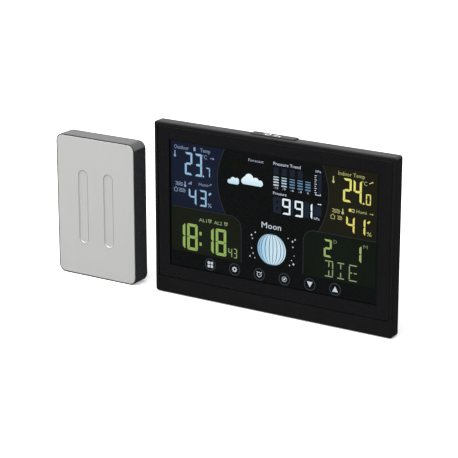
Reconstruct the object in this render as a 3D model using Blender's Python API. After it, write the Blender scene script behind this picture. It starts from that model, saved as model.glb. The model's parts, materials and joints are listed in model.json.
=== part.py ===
"""Home weather station: a desk console with a colour display, and its outdoor sensor.

Metres, +Z up. Both housings face -Y, and their front faces lie in one plane. The origin is
at the middle of the whole set's footprint, on the table.

The console and the sensor each have a frame of their own, an empty at the middle of the
housing's front bottom edge: x to the right, y from the front face to the back, z up. Every
size below is written once, and everything that fits to it is worked out from it.
"""

from math import cos, pi, radians, sin

import bmesh
import bpy
from mathutils import Matrix, Vector

# ---------------------------------------------------------------- clearances
GAP = 0.0003            # between two pieces that touch
RUN = 0.00025           # round a pin or a plunger that turns or slides
OVERRUN = 0.0010        # how far a cut runs past the face it opens

# ---------------------------------------------------------------- console housing
CONSOLE_WIDTH = 0.1800
CONSOLE_HEIGHT = 0.1190
REAR_PLATE = 0.0017     # thickness of the rear cover round the hump
HUMP_SIDE = 0.0200      # console side to hump side
HUMP_DROP = 0.0100      # console top to hump top
HUMP_LIFT = 0.0005      # console bottom to hump bottom
OUTLINE_CORNER = 0.0018
HUMP_CORNER = 0.0040
FRONT_EDGE = 0.0007     # rounding of the bezel's front edge
BACK_EDGE = 0.0011      # rounding of the rear cover's back edges
BEZEL_WALL = 0.0022
HUMP_WALL = 0.0018

# ---------------------------------------------------------------- display, front to back
RIM_SIDE = 0.0024       # console side to the lens seat
RIM_TOP = 0.0026        # console top to the lens seat
CHIN_HEIGHT = 0.0111    # console bottom to the lens seat
LENS_SINK = 0.0003      # the lens lies this far behind the rim
LENS_THICK = 0.0012
LENS_CORNER = 0.0012
LEDGE_THICK = 0.0012    # the ledge that carries the lens
WINDOW_BOTTOM = 0.0200  # console bottom to the opening in the ledge
GLASS_SIDE = 0.0096     # console side to the display glass
GLASS_TOP = 0.0090      # console top to the display glass
GLASS_BOTTOM = 0.0306   # console bottom to the display glass
GLASS_THICK = 0.0015
GLASS_LEDGE = 0.0036    # height of the glass's contact ledge
GASKET_THICK = 0.0004
GASKET_BAND = 0.0020
FILM_THICK = 0.0002
GUIDE_THICK = 0.0014
TRAY_FLOOR = 0.0007
TRAY_WALL = 0.0010
LED_COUNT = 8
LED_WIDTH = 0.0034
LED_STRIP = 0.0009
LED_TALL = 0.0007
ZEBRA_IN = 0.0076       # board's edge to the end of the contact strip
ZEBRA_TALL = 0.0026

# ---------------------------------------------------------------- main board
BOARD_STANDOFF = 0.0006 # seam to the board
BOARD_THICK = 0.0012
BOARD_BOTTOM = 0.0120   # console bottom to the board
KEY_COUNT = 6
KEY_PITCH = 0.0190
KEY_ROW_X = 0.0012
KEY_ROW_Z = 0.0258
CHIP_IN = 0.0200        # board's left edge to the middle of the chip
CHIP_RADIUS = 0.0075
CHIP_TALL = 0.0014
CHIP_Z = 0.0500
RADIO_IN = 0.0056       # board's left edge to the radio module
RADIO_WIDTH = 0.0160
RADIO_HEIGHT = 0.0140
RADIO_TALL = 0.0026
RADIO_DROP = 0.0400     # board's top to the module's bottom
ANTENNA_WIRE = 0.0004   # radius
ANTENNA_DROP = 0.0030   # board's top to the wire
ANTENNA_BEND = 0.0040
ANTENNA_REACH = 0.0400
SOUNDER_IN = 0.0200     # hump side to the middle of the buzzer
SOUNDER_DROP = 0.0245   # board's top to the middle of the buzzer
SOUNDER_RADIUS = 0.0060
SOUNDER_TALL = 0.0042
SOUNDER_HOLE = 0.0010
ROOM_SENSOR_SIDE = 0.0060
ROOM_SENSOR_TALL = 0.0024
TOUCH_COIL_RADIUS = 0.0024
TOUCH_WIRE = 0.0002     # radius
TOUCH_TURNS = 4

# ---------------------------------------------------------------- top key
KEY_X = -0.0010
KEY_WIDTH = 0.0335
KEY_FRONT = 0.0034      # front face to the key
KEY_LENGTH = 0.0092     # flange, front to back
KEY_PROUD = 0.0007
KEY_CAP = 0.0036        # height of the cap
KEY_EDGE = 0.0004       # chamfer round its top
KEY_CORNER = 0.0010
KEY_FLANGE = 0.0008
KEY_FLANGE_THICK = 0.0010
KEY_TRAVEL = 0.0008
STEM_X = 0.0030
STEM_Y = 0.0020
STEM_CORNER = 0.0003
STEM_BACK = 0.0010      # stem to the back of the flange
TOWER_WALL = 0.0012
TOWER_ROOF = 0.0008     # over the back of the flange
SWITCH_WIDTH = 0.0062
SWITCH_TALL = 0.0050
PLUNGER_RADIUS = 0.0012
PLUNGER_LENGTH = 0.0036

# ---------------------------------------------------------------- cells
CELL_RADIUS = 0.00515
CELL_LENGTH = 0.0445
CELL_NUB_RADIUS = 0.0019
CELL_RIM = 0.0005        # chamfer at each end
CELL_NUB = 0.0010
CELL_SPACE = 0.0006     # between neighbouring cells
CONTACT_THICK = 0.0004
CONTACT_SIDE = 0.0070
SPRING_LENGTH = 0.0049
SPRING_WIRE = 0.00030   # radius
SPRING_TURNS = 4
SPRING_RADII = (0.0020, 0.0040)   # at the cell and at the wall

# ---------------------------------------------------------------- console battery bay
CONSOLE_CELLS = 3
BAY_CLEAR = 0.0006      # board to the bay's front wall
BAY_DROP = 0.0102       # hump top to bay
BAY_WALL = 0.0014
DOOR_THICK = 0.0018
DOOR_LIP = 0.0016       # how far the door laps over the bay's edge
DOOR_CORNER = 0.0015
THUMB_WIDTH = 0.0120
THUMB_TALL = 0.0050
THUMB_DEEP = 0.0008

# ---------------------------------------------------------------- stand
FOOT_IN = 0.0280        # hump side to the foot's side
FOOT_REACH = 0.0380     # hinge axis to the foot's far edge
FOOT_THICK = 0.0024
FOOT_CORNER = 0.0060
BARREL_RADIUS = 0.0023
PIN_RADIUS = 0.0011
PIN_GRIP = 0.0040       # how far the pin goes into each side
HINGE_BOSS = 0.0060
FOOT_SIDE_GAP = 0.0006
RECESS_WALL = 0.0014
GRIP_NOTCH = 0.0100     # radius of the finger notch above the folded foot
GRIP_SHOWS = 0.0040

# ---------------------------------------------------------------- feet, screws, jack, openings
PAD_PROUD = 0.0005
PAD_SINK = 0.0006
PAD_LENGTH = 0.0140
PAD_IN = 0.0280         # console side to the middle of a foot
PAD_Y = 0.0020          # front face to the feet
PAD_DEEP = 0.0036
PAD_CORNER = 0.0012
POST_INSET = 0.0060     # console side, top and bottom to a screw post
POST_RADIUS = 0.0026
SCREW_RADIUS = 0.0009
SCREW_HEAD_RADIUS = 0.0019
SCREW_HEAD = 0.0009
SCREW_LENGTH = 0.0046
SCREW_SLOT = 0.0005
JACK_Z = 0.0300
JACK_SIDE = 0.0090
JACK_LENGTH = 0.0120
JACK_BORE = 0.0028      # radius
JACK_PIN = 0.0010       # radius
JACK_DEEP = 0.0090
KEYHOLE_IN = 0.0200     # hump side to a keyhole
KEYHOLE_DROP = 0.0200   # hump top to the keyhole's round end
KEYHOLE_RADIUS = 0.0041
KEYHOLE_SLOT = 0.0021   # half width
KEYHOLE_RISE = 0.0080
VENT_IN = 0.0160        # hump side to the middle of the vents
VENT_DROP = 0.0570      # hump top to the lowest vent
VENT_COUNT = 5
VENT_PITCH = 0.0040
VENT_LONG = 0.0180
VENT_TALL = 0.0016

# ---------------------------------------------------------------- outdoor sensor
SENSOR_GAP = 0.0165     # sensor side to console side
SENSOR_WIDTH = 0.0652
SENSOR_HEIGHT = 0.1000
SENSOR_CELL_CLEAR = 0.0005
SENSOR_REAR_PLATE = 0.0028
SENSOR_CORNER = 0.0054
SENSOR_EDGE = 0.0012    # rounding of the back edges
SENSOR_FRONT_EDGE = 0.0003
SENSOR_WALL = 0.0016
FRONT_WALL = 0.0010
PLATE_INSET = 0.0009    # housing side to the face plate
PLATE_THICK = 0.0009
PLATE_PROUD = 0.0002    # of the rim round it
PLATE_EDGE = 0.0003
GROOVE_WIDTH = 0.0073
GROOVE_LENGTH = 0.0520
GROOVE_APART = 0.0211   # middle to middle
GROOVE_DEEP = 0.0005
SEAL_THICK = 0.0005
SEAL_BAND = 0.0010
SENSOR_CELLS = 2
SENSOR_BAY_Z = 0.0060
SENSOR_BAY_WALL = 0.0012
SENSOR_DOOR_THICK = 0.0014
SHELF_TALL = 0.0100
SHELF_THICK = 0.0014
SHELF_SINK = 0.0034     # back of the housing to the shelf
HOOK_DROP = 0.0120      # top of the sensor to the hook's hole
PROBE_RADIUS = 0.0016
PROBE_TALL = 0.0028
PROBE_IN = 0.0100       # board's right edge to the probe
PROBE_RISE = 0.0080     # board's bottom to the probe
BUTTON_FLANGE = 0.0005
SWITCH_BASE = 0.0012
SENSOR_BOARD_Y = 0.0040
SENSOR_BOARD_THICK = 0.0010
SENSOR_BOARD_SIDE = 0.0030
TX_X = 0.0080
TX_RADIUS = 0.0016
TX_PROUD = 0.0006
CHANNEL_X = -0.0080
CHANNEL_KNOB = 0.0020
CHANNEL_TALL = 0.0030
CHANNEL_STEP = 0.0020
CHANNEL_STEPS = 2
DOOR_SCREW_DROP = 0.0050

ROUND_SIDES = 24
SMALL_SIDES = 14
COIL_STEPS = 12         # points in each turn of a spring
CORNER_STEPS = 4
EDGE_STEPS = 2
SHARP_ANGLE = radians(32)

# ---------------------------------------------------------------- what follows from the sizes
HALF_WIDTH = CONSOLE_WIDTH / 2
HUMP_HALF = HALF_WIDTH - HUMP_SIDE
HUMP_TOP = CONSOLE_HEIGHT - HUMP_DROP
LENS_HALF = HALF_WIDTH - RIM_SIDE - GAP
LENS_BOTTOM = CHIN_HEIGHT + GAP
LENS_TOP = CONSOLE_HEIGHT - RIM_TOP - GAP
LEDGE_FRONT = LENS_SINK + LENS_THICK + GAP
LEDGE_BACK = LEDGE_FRONT + LEDGE_THICK
GLASS_HALF = HALF_WIDTH - GLASS_SIDE
GLASS_TOP_Z = CONSOLE_HEIGHT - GLASS_TOP
GLASS_FRONT = LEDGE_FRONT + GASKET_THICK + GAP
GLASS_BACK = GLASS_FRONT + GLASS_THICK
FILM_FRONT = GLASS_BACK + GAP
GUIDE_FRONT = FILM_FRONT + FILM_THICK + GAP
TRAY_BACK = GUIDE_FRONT + GUIDE_THICK + GAP + TRAY_FLOOR
TRAY_BOTTOM = GLASS_BOTTOM + GLASS_LEDGE
BEZEL_DEPTH = TRAY_BACK
SLAB_FRONT = BEZEL_DEPTH + GAP
SLAB_DEPTH = SLAB_FRONT + REAR_PLATE
BOARD_FRONT = SLAB_FRONT + BOARD_STANDOFF
BOARD_BACK = BOARD_FRONT + BOARD_THICK
BOARD_HALF = HUMP_HALF - HUMP_WALL - 2 * GAP
BOARD_TOP = HUMP_TOP - HUMP_WALL - 2 * GAP
BAY_FLOOR = BOARD_BACK + BAY_CLEAR + BAY_WALL
CELL_Y = BAY_FLOOR + GAP + CELL_RADIUS
DOOR_FRONT = CELL_Y + CELL_RADIUS + GAP
HUMP_DEPTH = DOOR_FRONT + DOOR_THICK
KEY_BACK = KEY_FRONT + KEY_LENGTH
KEY_BOTTOM = CONSOLE_HEIGHT + KEY_PROUD - KEY_CAP
STEM_MIDDLE_Y = KEY_BACK - STEM_BACK - STEM_Y / 2
SWITCH_TOP = BOARD_TOP - 2 * GAP
PLUNGER_TOP = SWITCH_TOP + KEY_TRAVEL + GAP
CELL_PITCH = 2 * CELL_RADIUS + CELL_SPACE
BAY_HALF = (CELL_LENGTH + SPRING_LENGTH + CONTACT_THICK + 4 * GAP) / 2
BAY_TOP = HUMP_TOP - BAY_DROP
BAY_BOTTOM = BAY_TOP - CONSOLE_CELLS * CELL_PITCH - CELL_SPACE
KEYHOLE_X = HUMP_HALF - KEYHOLE_IN
VENT_X = HUMP_HALF - VENT_IN
VENT_Z = HUMP_TOP - VENT_DROP
JACK_Y = (SLAB_DEPTH + HUMP_DEPTH) / 2
HINGE_Y = HUMP_DEPTH - FOOT_THICK - GAP / 2
HINGE_Z = FOOT_THICK + GAP / 2 - PAD_PROUD
RECESS_DEPTH = FOOT_THICK + 2 * GAP
FOOT_WIDTH = 2 * (HUMP_HALF - FOOT_IN)
RECESS_HALF = FOOT_WIDTH / 2 + FOOT_SIDE_GAP
RECESS_TOP = HINGE_Z + FOOT_REACH + 2 * GAP
DEPTH = HINGE_Y + FOOT_REACH
SENSOR_HALF = SENSOR_WIDTH / 2
POCKET_DEPTH = PLATE_THICK + GAP
SHELL_INNER = POCKET_DEPTH + FRONT_WALL
SENSOR_CELL_Y = SHELL_INNER + SENSOR_CELL_CLEAR + CELL_RADIUS
SENSOR_DEPTH = SENSOR_CELL_Y + CELL_RADIUS + GAP + SENSOR_DOOR_THICK
SENSOR_BACK_FRONT = SENSOR_DEPTH - SENSOR_REAR_PLATE
SHELL_DEPTH = SENSOR_BACK_FRONT - GAP
SENSOR_BAY_HALF = (SENSOR_CELLS * CELL_PITCH + CELL_SPACE) / 2
SENSOR_BAY_TOP = SENSOR_BAY_Z + 2 * BAY_HALF
SHELF_Z = SENSOR_BAY_TOP + SENSOR_BAY_WALL
SHELF_BACK = SENSOR_DEPTH - SHELF_SINK
SHELF_TOP = SHELF_Z + SHELF_TALL
SHELF_MIDDLE = (SHELF_Z + SHELF_TOP) / 2
TOTAL_WIDTH = CONSOLE_WIDTH + SENSOR_GAP + SENSOR_WIDTH

COLOURS = {
    "housing_black": ((0.013, 0.013, 0.014), 0.42, 0.0),
    "lens_black": ((0.010, 0.010, 0.011), 0.10, 0.0),
    "display_glass": ((0.020, 0.022, 0.030), 0.08, 0.0),
    "colour_film": ((0.040, 0.060, 0.300), 0.30, 0.0),
    "clear_acrylic": ((0.800, 0.850, 0.880), 0.08, 0.0),
    "white_plastic": ((0.800, 0.800, 0.780), 0.50, 0.0),
    "foam_grey": ((0.050, 0.050, 0.055), 0.90, 0.0),
    "board_green": ((0.015, 0.120, 0.045), 0.40, 0.0),
    "part_black": ((0.020, 0.020, 0.020), 0.50, 0.0),
    "spring_steel": ((0.620, 0.620, 0.600), 0.28, 1.0),
    "plated_contact": ((0.700, 0.690, 0.650), 0.25, 1.0),
    "copper_wire": ((0.720, 0.380, 0.200), 0.30, 1.0),
    "cell_sleeve": ((0.060, 0.180, 0.090), 0.35, 0.0),
    "rubber_black": ((0.020, 0.020, 0.020), 0.85, 0.0),
    "sensor_silver": ((0.560, 0.560, 0.545), 0.34, 0.8),
    "sensor_black": ((0.022, 0.022, 0.024), 0.40, 0.0),
}


# ---------------------------------------------------------------- shapes
def rectangle(u0, u1, v0, v1, radius=0.0):
    """A rectangle's outline, with round corners where radius is above zero."""
    if radius <= 0.0:
        return [(u0, v0), (u1, v0), (u1, v1), (u0, v1)]
    centres = (
        (u1 - radius, v0 + radius, -pi / 2),
        (u1 - radius, v1 - radius, 0.0),
        (u0 + radius, v1 - radius, pi / 2),
        (u0 + radius, v0 + radius, pi),
    )
    turns = [pi / 2 * step / CORNER_STEPS for step in range(CORNER_STEPS + 1)]
    return [
        (u + radius * cos(start + turn), v + radius * sin(start + turn))
        for u, v, start in centres
        for turn in turns
    ]


def circle(u, v, radius, sides=ROUND_SIDES):
    turns = [2 * pi * side / sides for side in range(sides)]
    return [(u + radius * cos(turn), v + radius * sin(turn)) for turn in turns]


def stadium(u, v0, v1, half):
    """A slot's outline with half-round ends, standing along v."""
    steps = 2 * CORNER_STEPS
    turns = [pi * step / steps for step in range(steps + 1)]
    top = [(u + half * cos(turn), v1 - half + half * sin(turn)) for turn in turns]
    bottom = [(u - half * cos(turn), v0 + half - half * sin(turn)) for turn in turns]
    return top + bottom


def block(x0, x1, y0, y1, z0, z1, corner=0.0, plane="Y"):
    """A block; its corners are rounded in the plane across the named axis."""
    spans = {"X": (y0, y1, z0, z1, x0, x1), "Y": (x0, x1, z0, z1, y0, y1), "Z": (x0, x1, y0, y1, z0, z1)}
    u0, u1, v0, v1, near, far = spans[plane]
    outline = rectangle(u0, u1, v0, v1, corner)
    return plane, [(outline, near), (outline, far)]


def slab(x0, x1, z0, z1, near, far, corner, edge_near=0.0, edge_far=0.0):
    """A plate facing -Y with round corners and rounded front or back edges."""
    sections = []
    steps = range(EDGE_STEPS + 1)
    if edge_near > 0.0:
        for turn in (pi / 2 * step / EDGE_STEPS for step in steps):
            sections.append((edge_near * (1 - sin(turn)), near + edge_near * (1 - cos(turn))))
    else:
        sections.append((0.0, near))
    if edge_far > 0.0:
        for turn in (pi / 2 * step / EDGE_STEPS for step in steps):
            sections.append((edge_far * (1 - cos(turn)), far - edge_far * (1 - sin(turn))))
    else:
        sections.append((0.0, far))
    rings = [
        (rectangle(x0 + inset, x1 - inset, z0 + inset, z1 - inset, corner - inset), level)
        for inset, level in sections
    ]
    return "Y", rings


def turned(plane, u, v, profile, sides=ROUND_SIDES):
    """A body turned about an axis along plane, through u, v: profile is (radius, level) pairs."""
    return plane, [(circle(u, v, radius, sides), level) for radius, level in profile]


def rod(plane, u, v, radius, near, far, sides=ROUND_SIDES):
    return turned(plane, u, v, [(radius, near), (radius, far)], sides)


def point(plane, u, v, level):
    if plane == "X":
        return (level, u, v)
    if plane == "Y":
        return (u, level, v)
    return (u, v, level)


def mesh_of(name, shapes):
    """One mesh from closed shapes, each lofted through its rings, with faces pointing out."""
    bm = bmesh.new()
    for plane, rings in shapes:
        loops = [[bm.verts.new(point(plane, u, v, level)) for u, v in ring] for ring, level in rings]
        for low, high in zip(loops, loops[1:]):
            for here in range(len(low)):
                there = (here + 1) % len(low)
                bm.faces.new((low[here], low[there], high[there], high[here]))
        bm.faces.new(loops[0])
        bm.faces.new(loops[-1])
    bmesh.ops.recalc_face_normals(bm, faces=bm.faces)
    mesh = bpy.data.meshes.new(name)
    bm.to_mesh(mesh)
    bm.free()
    mesh.shade_smooth()
    mesh.set_sharp_from_angle(angle=SHARP_ANGLE)
    return mesh


# ---------------------------------------------------------------- objects
def clear_scene():
    for old in list(bpy.data.objects):
        bpy.data.objects.remove(old, do_unlink=True)


def finish_of(name):
    """The material of one finish, made once."""
    if name in bpy.data.materials:
        return bpy.data.materials[name]
    colour, roughness, metallic = COLOURS[name]
    made = bpy.data.materials.new(name)
    made.use_nodes = True
    shader = made.node_tree.nodes["Principled BSDF"]
    shader.inputs["Base Color"].default_value = (*colour, 1.0)
    shader.inputs["Roughness"].default_value = roughness
    shader.inputs["Metallic"].default_value = metallic
    return made


def frame_empty(name, place):
    empty = bpy.data.objects.new(name, None)
    empty.location = place
    bpy.context.scene.collection.objects.link(empty)
    return empty


def piece(name, finish, parent, shapes, origin=(0.0, 0.0, 0.0)):
    """One sub-part: a mesh of shapes in its parent's frame, with its own origin."""
    obj = bpy.data.objects.new(name, mesh_of(name, shapes))
    obj.data.materials.append(finish_of(finish))
    obj.data.transform(Matrix.Translation(-Vector(origin)))
    obj.location = origin
    obj.parent = parent
    bpy.context.scene.collection.objects.link(obj)
    return obj


def tool(name, parent, shapes):
    """A solid that only cuts or adds to a piece."""
    obj = bpy.data.objects.new(name, mesh_of(name, shapes))
    obj.hide_render = True
    obj.display_type = "WIRE"
    obj.parent = parent
    bpy.context.scene.collection.objects.link(obj)
    return obj


def work(obj, operation, name, shapes):
    """Cuts shapes out of a piece, or adds them to it. Returns the tool."""
    made = tool(f"{obj.name}.{name}", obj.parent, shapes)
    modifier = obj.modifiers.new(name, "BOOLEAN")
    modifier.operation = operation
    modifier.solver = "EXACT"
    modifier.object = made
    return made


def cut(obj, name, *shapes):
    return work(obj, "DIFFERENCE", name, shapes)


def add(obj, name, *shapes):
    return work(obj, "UNION", name, shapes)


def coil(name, finish, parent, plane, u, v, start, length, radii, turns, wire):
    """A wire spring along an axis, its radius running from radii[0] to radii[1]."""
    data = bpy.data.curves.new(name, "CURVE")
    data.dimensions = "3D"
    data.bevel_depth = wire
    data.bevel_resolution = 0
    data.use_fill_caps = True
    data.render_resolution_u = 0
    spline = data.splines.new("POLY")
    count = turns * COIL_STEPS
    spline.points.add(count)
    direction = 1 if length > 0 else -1
    rise = length - 2 * wire * direction
    for index in range(count + 1):
        share = index / count
        turn = 2 * pi * index / COIL_STEPS
        radius = radii[0] + (radii[1] - radii[0]) * share - wire
        level = start + wire * direction + rise * share
        place = point(plane, u + radius * cos(turn), v + radius * sin(turn), level)
        spline.points[index].co = (*place, 1.0)
    obj = bpy.data.objects.new(name, data)
    data.materials.append(finish_of(finish))
    obj.parent = parent
    bpy.context.scene.collection.objects.link(obj)
    return obj


def cell(name, parent, plane, u, v, tip, towards):
    """A round cell whose raised end is at tip and points towards +1 or -1 along plane."""
    shoulder = tip - towards * CELL_NUB
    tail = tip - towards * CELL_LENGTH
    profile = [
        (CELL_RADIUS - CELL_RIM, tail),
        (CELL_RADIUS, tail + towards * CELL_RIM),
        (CELL_RADIUS, shoulder - towards * CELL_RIM),
        (CELL_RADIUS - CELL_RIM, shoulder),
        (CELL_NUB_RADIUS, shoulder),
        (CELL_NUB_RADIUS, tip),
    ]
    return piece(name, "cell_sleeve", parent, [turned(plane, u, v, profile)])


def screw(name, parent, x, z, head_y):
    """A cross-head screw driven towards -Y, its head's top at head_y."""
    profile = [
        (SCREW_RADIUS * 0.5, head_y - SCREW_LENGTH),
        (SCREW_RADIUS, head_y - SCREW_LENGTH + SCREW_RADIUS),
        (SCREW_RADIUS, head_y - SCREW_HEAD),
        (SCREW_HEAD_RADIUS, head_y - SCREW_HEAD),
        (SCREW_HEAD_RADIUS, head_y - SCREW_HEAD / 3),
        (SCREW_HEAD_RADIUS * 0.85, head_y),
    ]
    made = piece(name, "spring_steel", parent, [turned("Y", x, z, profile, SMALL_SIDES)])
    arm = SCREW_HEAD_RADIUS * 0.6
    half = SCREW_HEAD_RADIUS * 0.16
    cross = [
        (-half, -arm), (half, -arm), (half, -half), (arm, -half), (arm, half), (half, half),
        (half, arm), (-half, arm), (-half, half), (-arm, half), (-arm, -half), (-half, -half),
    ]
    outline = [(x + u, z + v) for u, v in cross]
    cut(made, "cross", ("Y", [(outline, head_y - SCREW_SLOT), (outline, head_y + OVERRUN)]))
    return made


# ---------------------------------------------------------------- console
def key_span(extra=0.0):
    """The top key's sides, widened by extra."""
    return KEY_X - KEY_WIDTH / 2 - extra, KEY_X + KEY_WIDTH / 2 + extra


def key_places():
    """Middle of each touch key, from the left."""
    first = KEY_ROW_X - KEY_PITCH * (KEY_COUNT - 1) / 2
    return [first + KEY_PITCH * index for index in range(KEY_COUNT)]


def post_places():
    """The four screw posts, as x and z."""
    x = HALF_WIDTH - POST_INSET
    return [(side * x, z) for z in (POST_INSET, CONSOLE_HEIGHT - POST_INSET) for side in (-1, 1)]


def pad(side, low, high, extra=0.0, corner=0.0):
    """A rubber foot under the bezel's left or right half, widened by extra."""
    half = PAD_LENGTH / 2 + extra
    x = side * (HALF_WIDTH - PAD_IN)
    return block(x - half, x + half, PAD_Y - extra, PAD_Y + PAD_DEEP + extra, low, high, corner, "Z")


def front_bezel(console):
    body = piece("front_bezel", "housing_black", console, [
        slab(-HALF_WIDTH, HALF_WIDTH, 0.0, CONSOLE_HEIGHT, 0.0, BEZEL_DEPTH, OUTLINE_CORNER, FRONT_EDGE)
    ])
    seat = LENS_HALF + GAP
    cut(body, "lens_seat", block(
        -seat, seat, -OVERRUN, LEDGE_FRONT, LENS_BOTTOM - GAP, LENS_TOP + GAP, LENS_CORNER))
    inner = HALF_WIDTH - BEZEL_WALL
    inside = cut(body, "inside", block(
        -inner, inner, LEDGE_BACK, BEZEL_DEPTH + OVERRUN, BEZEL_WALL, CONSOLE_HEIGHT - BEZEL_WALL))
    posts = [rod("Y", x, z, POST_RADIUS, 0.0, BEZEL_DEPTH + 2 * OVERRUN, SMALL_SIDES) for x, z in post_places()]
    cut(inside, "posts", *posts)
    window = GLASS_HALF + GAP
    cut(body, "window", block(
        -window, window, 0.0, BEZEL_DEPTH, WINDOW_BOTTOM, GLASS_TOP_Z + GAP))
    bores = [
        rod("Y", x, z, SCREW_RADIUS + RUN, LEDGE_BACK, BEZEL_DEPTH + OVERRUN, SMALL_SIDES)
        for x, z in post_places()
    ]
    cut(body, "screw_bores", *bores)
    x0, x1 = key_span(GAP)
    cut(body, "key_opening", block(
        x0, x1, KEY_FRONT - GAP, BEZEL_DEPTH + OVERRUN, CONSOLE_HEIGHT - 2 * BEZEL_WALL, CONSOLE_HEIGHT + OVERRUN))
    cut(body, "pad_pockets", *[pad(side, -OVERRUN, PAD_SINK + GAP, GAP) for side in (-1, 1)])
    return body


def display_stack(console):
    """Everything between the lens and the rear cover that makes the picture."""
    piece("front_lens", "lens_black", console, [
        slab(-LENS_HALF, LENS_HALF, LENS_BOTTOM, LENS_TOP, LENS_SINK, LENS_SINK + LENS_THICK, LENS_CORNER, GAP)
    ])
    gasket = piece("display_gasket", "foam_grey", console, [
        block(-GLASS_HALF, GLASS_HALF, LEDGE_FRONT, LEDGE_FRONT + GASKET_THICK, GLASS_BOTTOM, GLASS_TOP_Z)
    ])
    inner = GLASS_HALF - GASKET_BAND
    cut(gasket, "view", block(
        -inner, inner, 0.0, GLASS_FRONT, GLASS_BOTTOM + GASKET_BAND, GLASS_TOP_Z - GASKET_BAND))
    middle = (GLASS_FRONT + GLASS_BACK) / 2
    front_pane = rectangle(-GLASS_HALF, GLASS_HALF, GLASS_BOTTOM, GLASS_TOP_Z)
    rear_pane = rectangle(-GLASS_HALF, GLASS_HALF, TRAY_BOTTOM, GLASS_TOP_Z)
    piece("display_glass", "display_glass", console, [
        ("Y", [(front_pane, GLASS_FRONT), (front_pane, middle), (rear_pane, middle), (rear_pane, GLASS_BACK)])
    ])
    half = GLASS_HALF - TRAY_WALL - GAP
    low = TRAY_BOTTOM + TRAY_WALL + GAP
    high = GLASS_TOP_Z - TRAY_WALL - GAP
    piece("colour_film", "colour_film", console, [
        block(-half, half, FILM_FRONT, FILM_FRONT + FILM_THICK, low, high)
    ])
    strip_bottom = high - LED_STRIP
    guide_top = strip_bottom - LED_TALL - GAP
    piece("light_guide", "clear_acrylic", console, [
        block(-half, half, GUIDE_FRONT, GUIDE_FRONT + GUIDE_THICK, low, guide_top)
    ])
    led_strip(console, half, strip_bottom, high)
    tray = piece("backlight_tray", "white_plastic", console, [
        block(-GLASS_HALF, GLASS_HALF, FILM_FRONT, TRAY_BACK, TRAY_BOTTOM, GLASS_TOP_Z)
    ])
    wall = GLASS_HALF - TRAY_WALL
    cut(tray, "room", block(
        -wall, wall, 0.0, TRAY_BACK - TRAY_FLOOR, TRAY_BOTTOM + TRAY_WALL, GLASS_TOP_Z - TRAY_WALL))
    zebra = BOARD_HALF - ZEBRA_IN
    zebra_z = GLASS_BOTTOM + (GLASS_LEDGE - ZEBRA_TALL) / 2
    piece("contact_strip", "foam_grey", console, [
        block(-zebra, zebra, middle + GAP, BOARD_FRONT - GAP, zebra_z, zebra_z + ZEBRA_TALL)
    ])


def led_strip(console, half, bottom, top):
    """The backlight's circuit strip, with its lamps as teeth that face the light guide."""
    outline = [(half, top), (-half, top), (-half, bottom)]
    pitch = 2 * half / LED_COUNT
    for index in range(LED_COUNT):
        middle = -half + pitch * (index + 0.5)
        left, right = middle - LED_WIDTH / 2, middle + LED_WIDTH / 2
        outline += [(left, bottom), (left, bottom - LED_TALL), (right, bottom - LED_TALL), (right, bottom)]
    outline.append((half, bottom))
    piece("led_strip", "white_plastic", console, [
        ("Y", [(outline, GUIDE_FRONT), (outline, GUIDE_FRONT + GUIDE_THICK)])
    ])


def main_electronics(console):
    """The main board and what is soldered to it."""
    piece("main_board", "board_green", console, [
        block(-BOARD_HALF, BOARD_HALF, BOARD_FRONT, BOARD_BACK, BOARD_BOTTOM, BOARD_TOP)
    ])
    back = BOARD_BACK + GAP
    left = -BOARD_HALF
    chip = [
        (CHIP_RADIUS, back), (CHIP_RADIUS * 0.83, back + CHIP_TALL * 0.6), (CHIP_RADIUS * 0.4, back + CHIP_TALL)
    ]
    piece("main_chip", "part_black", console, [turned("Y", left + CHIP_IN, CHIP_Z, chip)])
    x, z = left + RADIO_IN, BOARD_TOP - RADIO_DROP
    piece("radio_module", "board_green", console, [
        block(x, x + RADIO_WIDTH, back, back + RADIO_TALL, z, z + RADIO_HEIGHT)
    ])
    half = ROOM_SENSOR_SIDE / 2
    piece("room_sensor", "white_plastic", console, [
        block(VENT_X - half, VENT_X + half, back, back + ROOM_SENSOR_TALL, VENT_Z, VENT_Z + ROOM_SENSOR_SIDE)
    ])
    x, z, top = HUMP_HALF - SOUNDER_IN, BOARD_TOP - SOUNDER_DROP, back + SOUNDER_TALL
    sounder = piece("buzzer", "part_black", console, [rod("Y", x, z, SOUNDER_RADIUS, back, top)])
    cut(sounder, "sound_hole", rod("Y", x, z, SOUNDER_HOLE, top - OVERRUN, top + OVERRUN, SMALL_SIDES))
    antenna(console)
    lens_back = LENS_SINK + LENS_THICK + GAP
    for index, x in enumerate(key_places(), 1):
        radii = (TOUCH_COIL_RADIUS, TOUCH_COIL_RADIUS)
        coil(f"touch_spring_{index}", "spring_steel", console, "Y", x, KEY_ROW_Z, lens_back,
             BOARD_FRONT - GAP - lens_back, radii, TOUCH_TURNS, TOUCH_WIRE)


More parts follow.
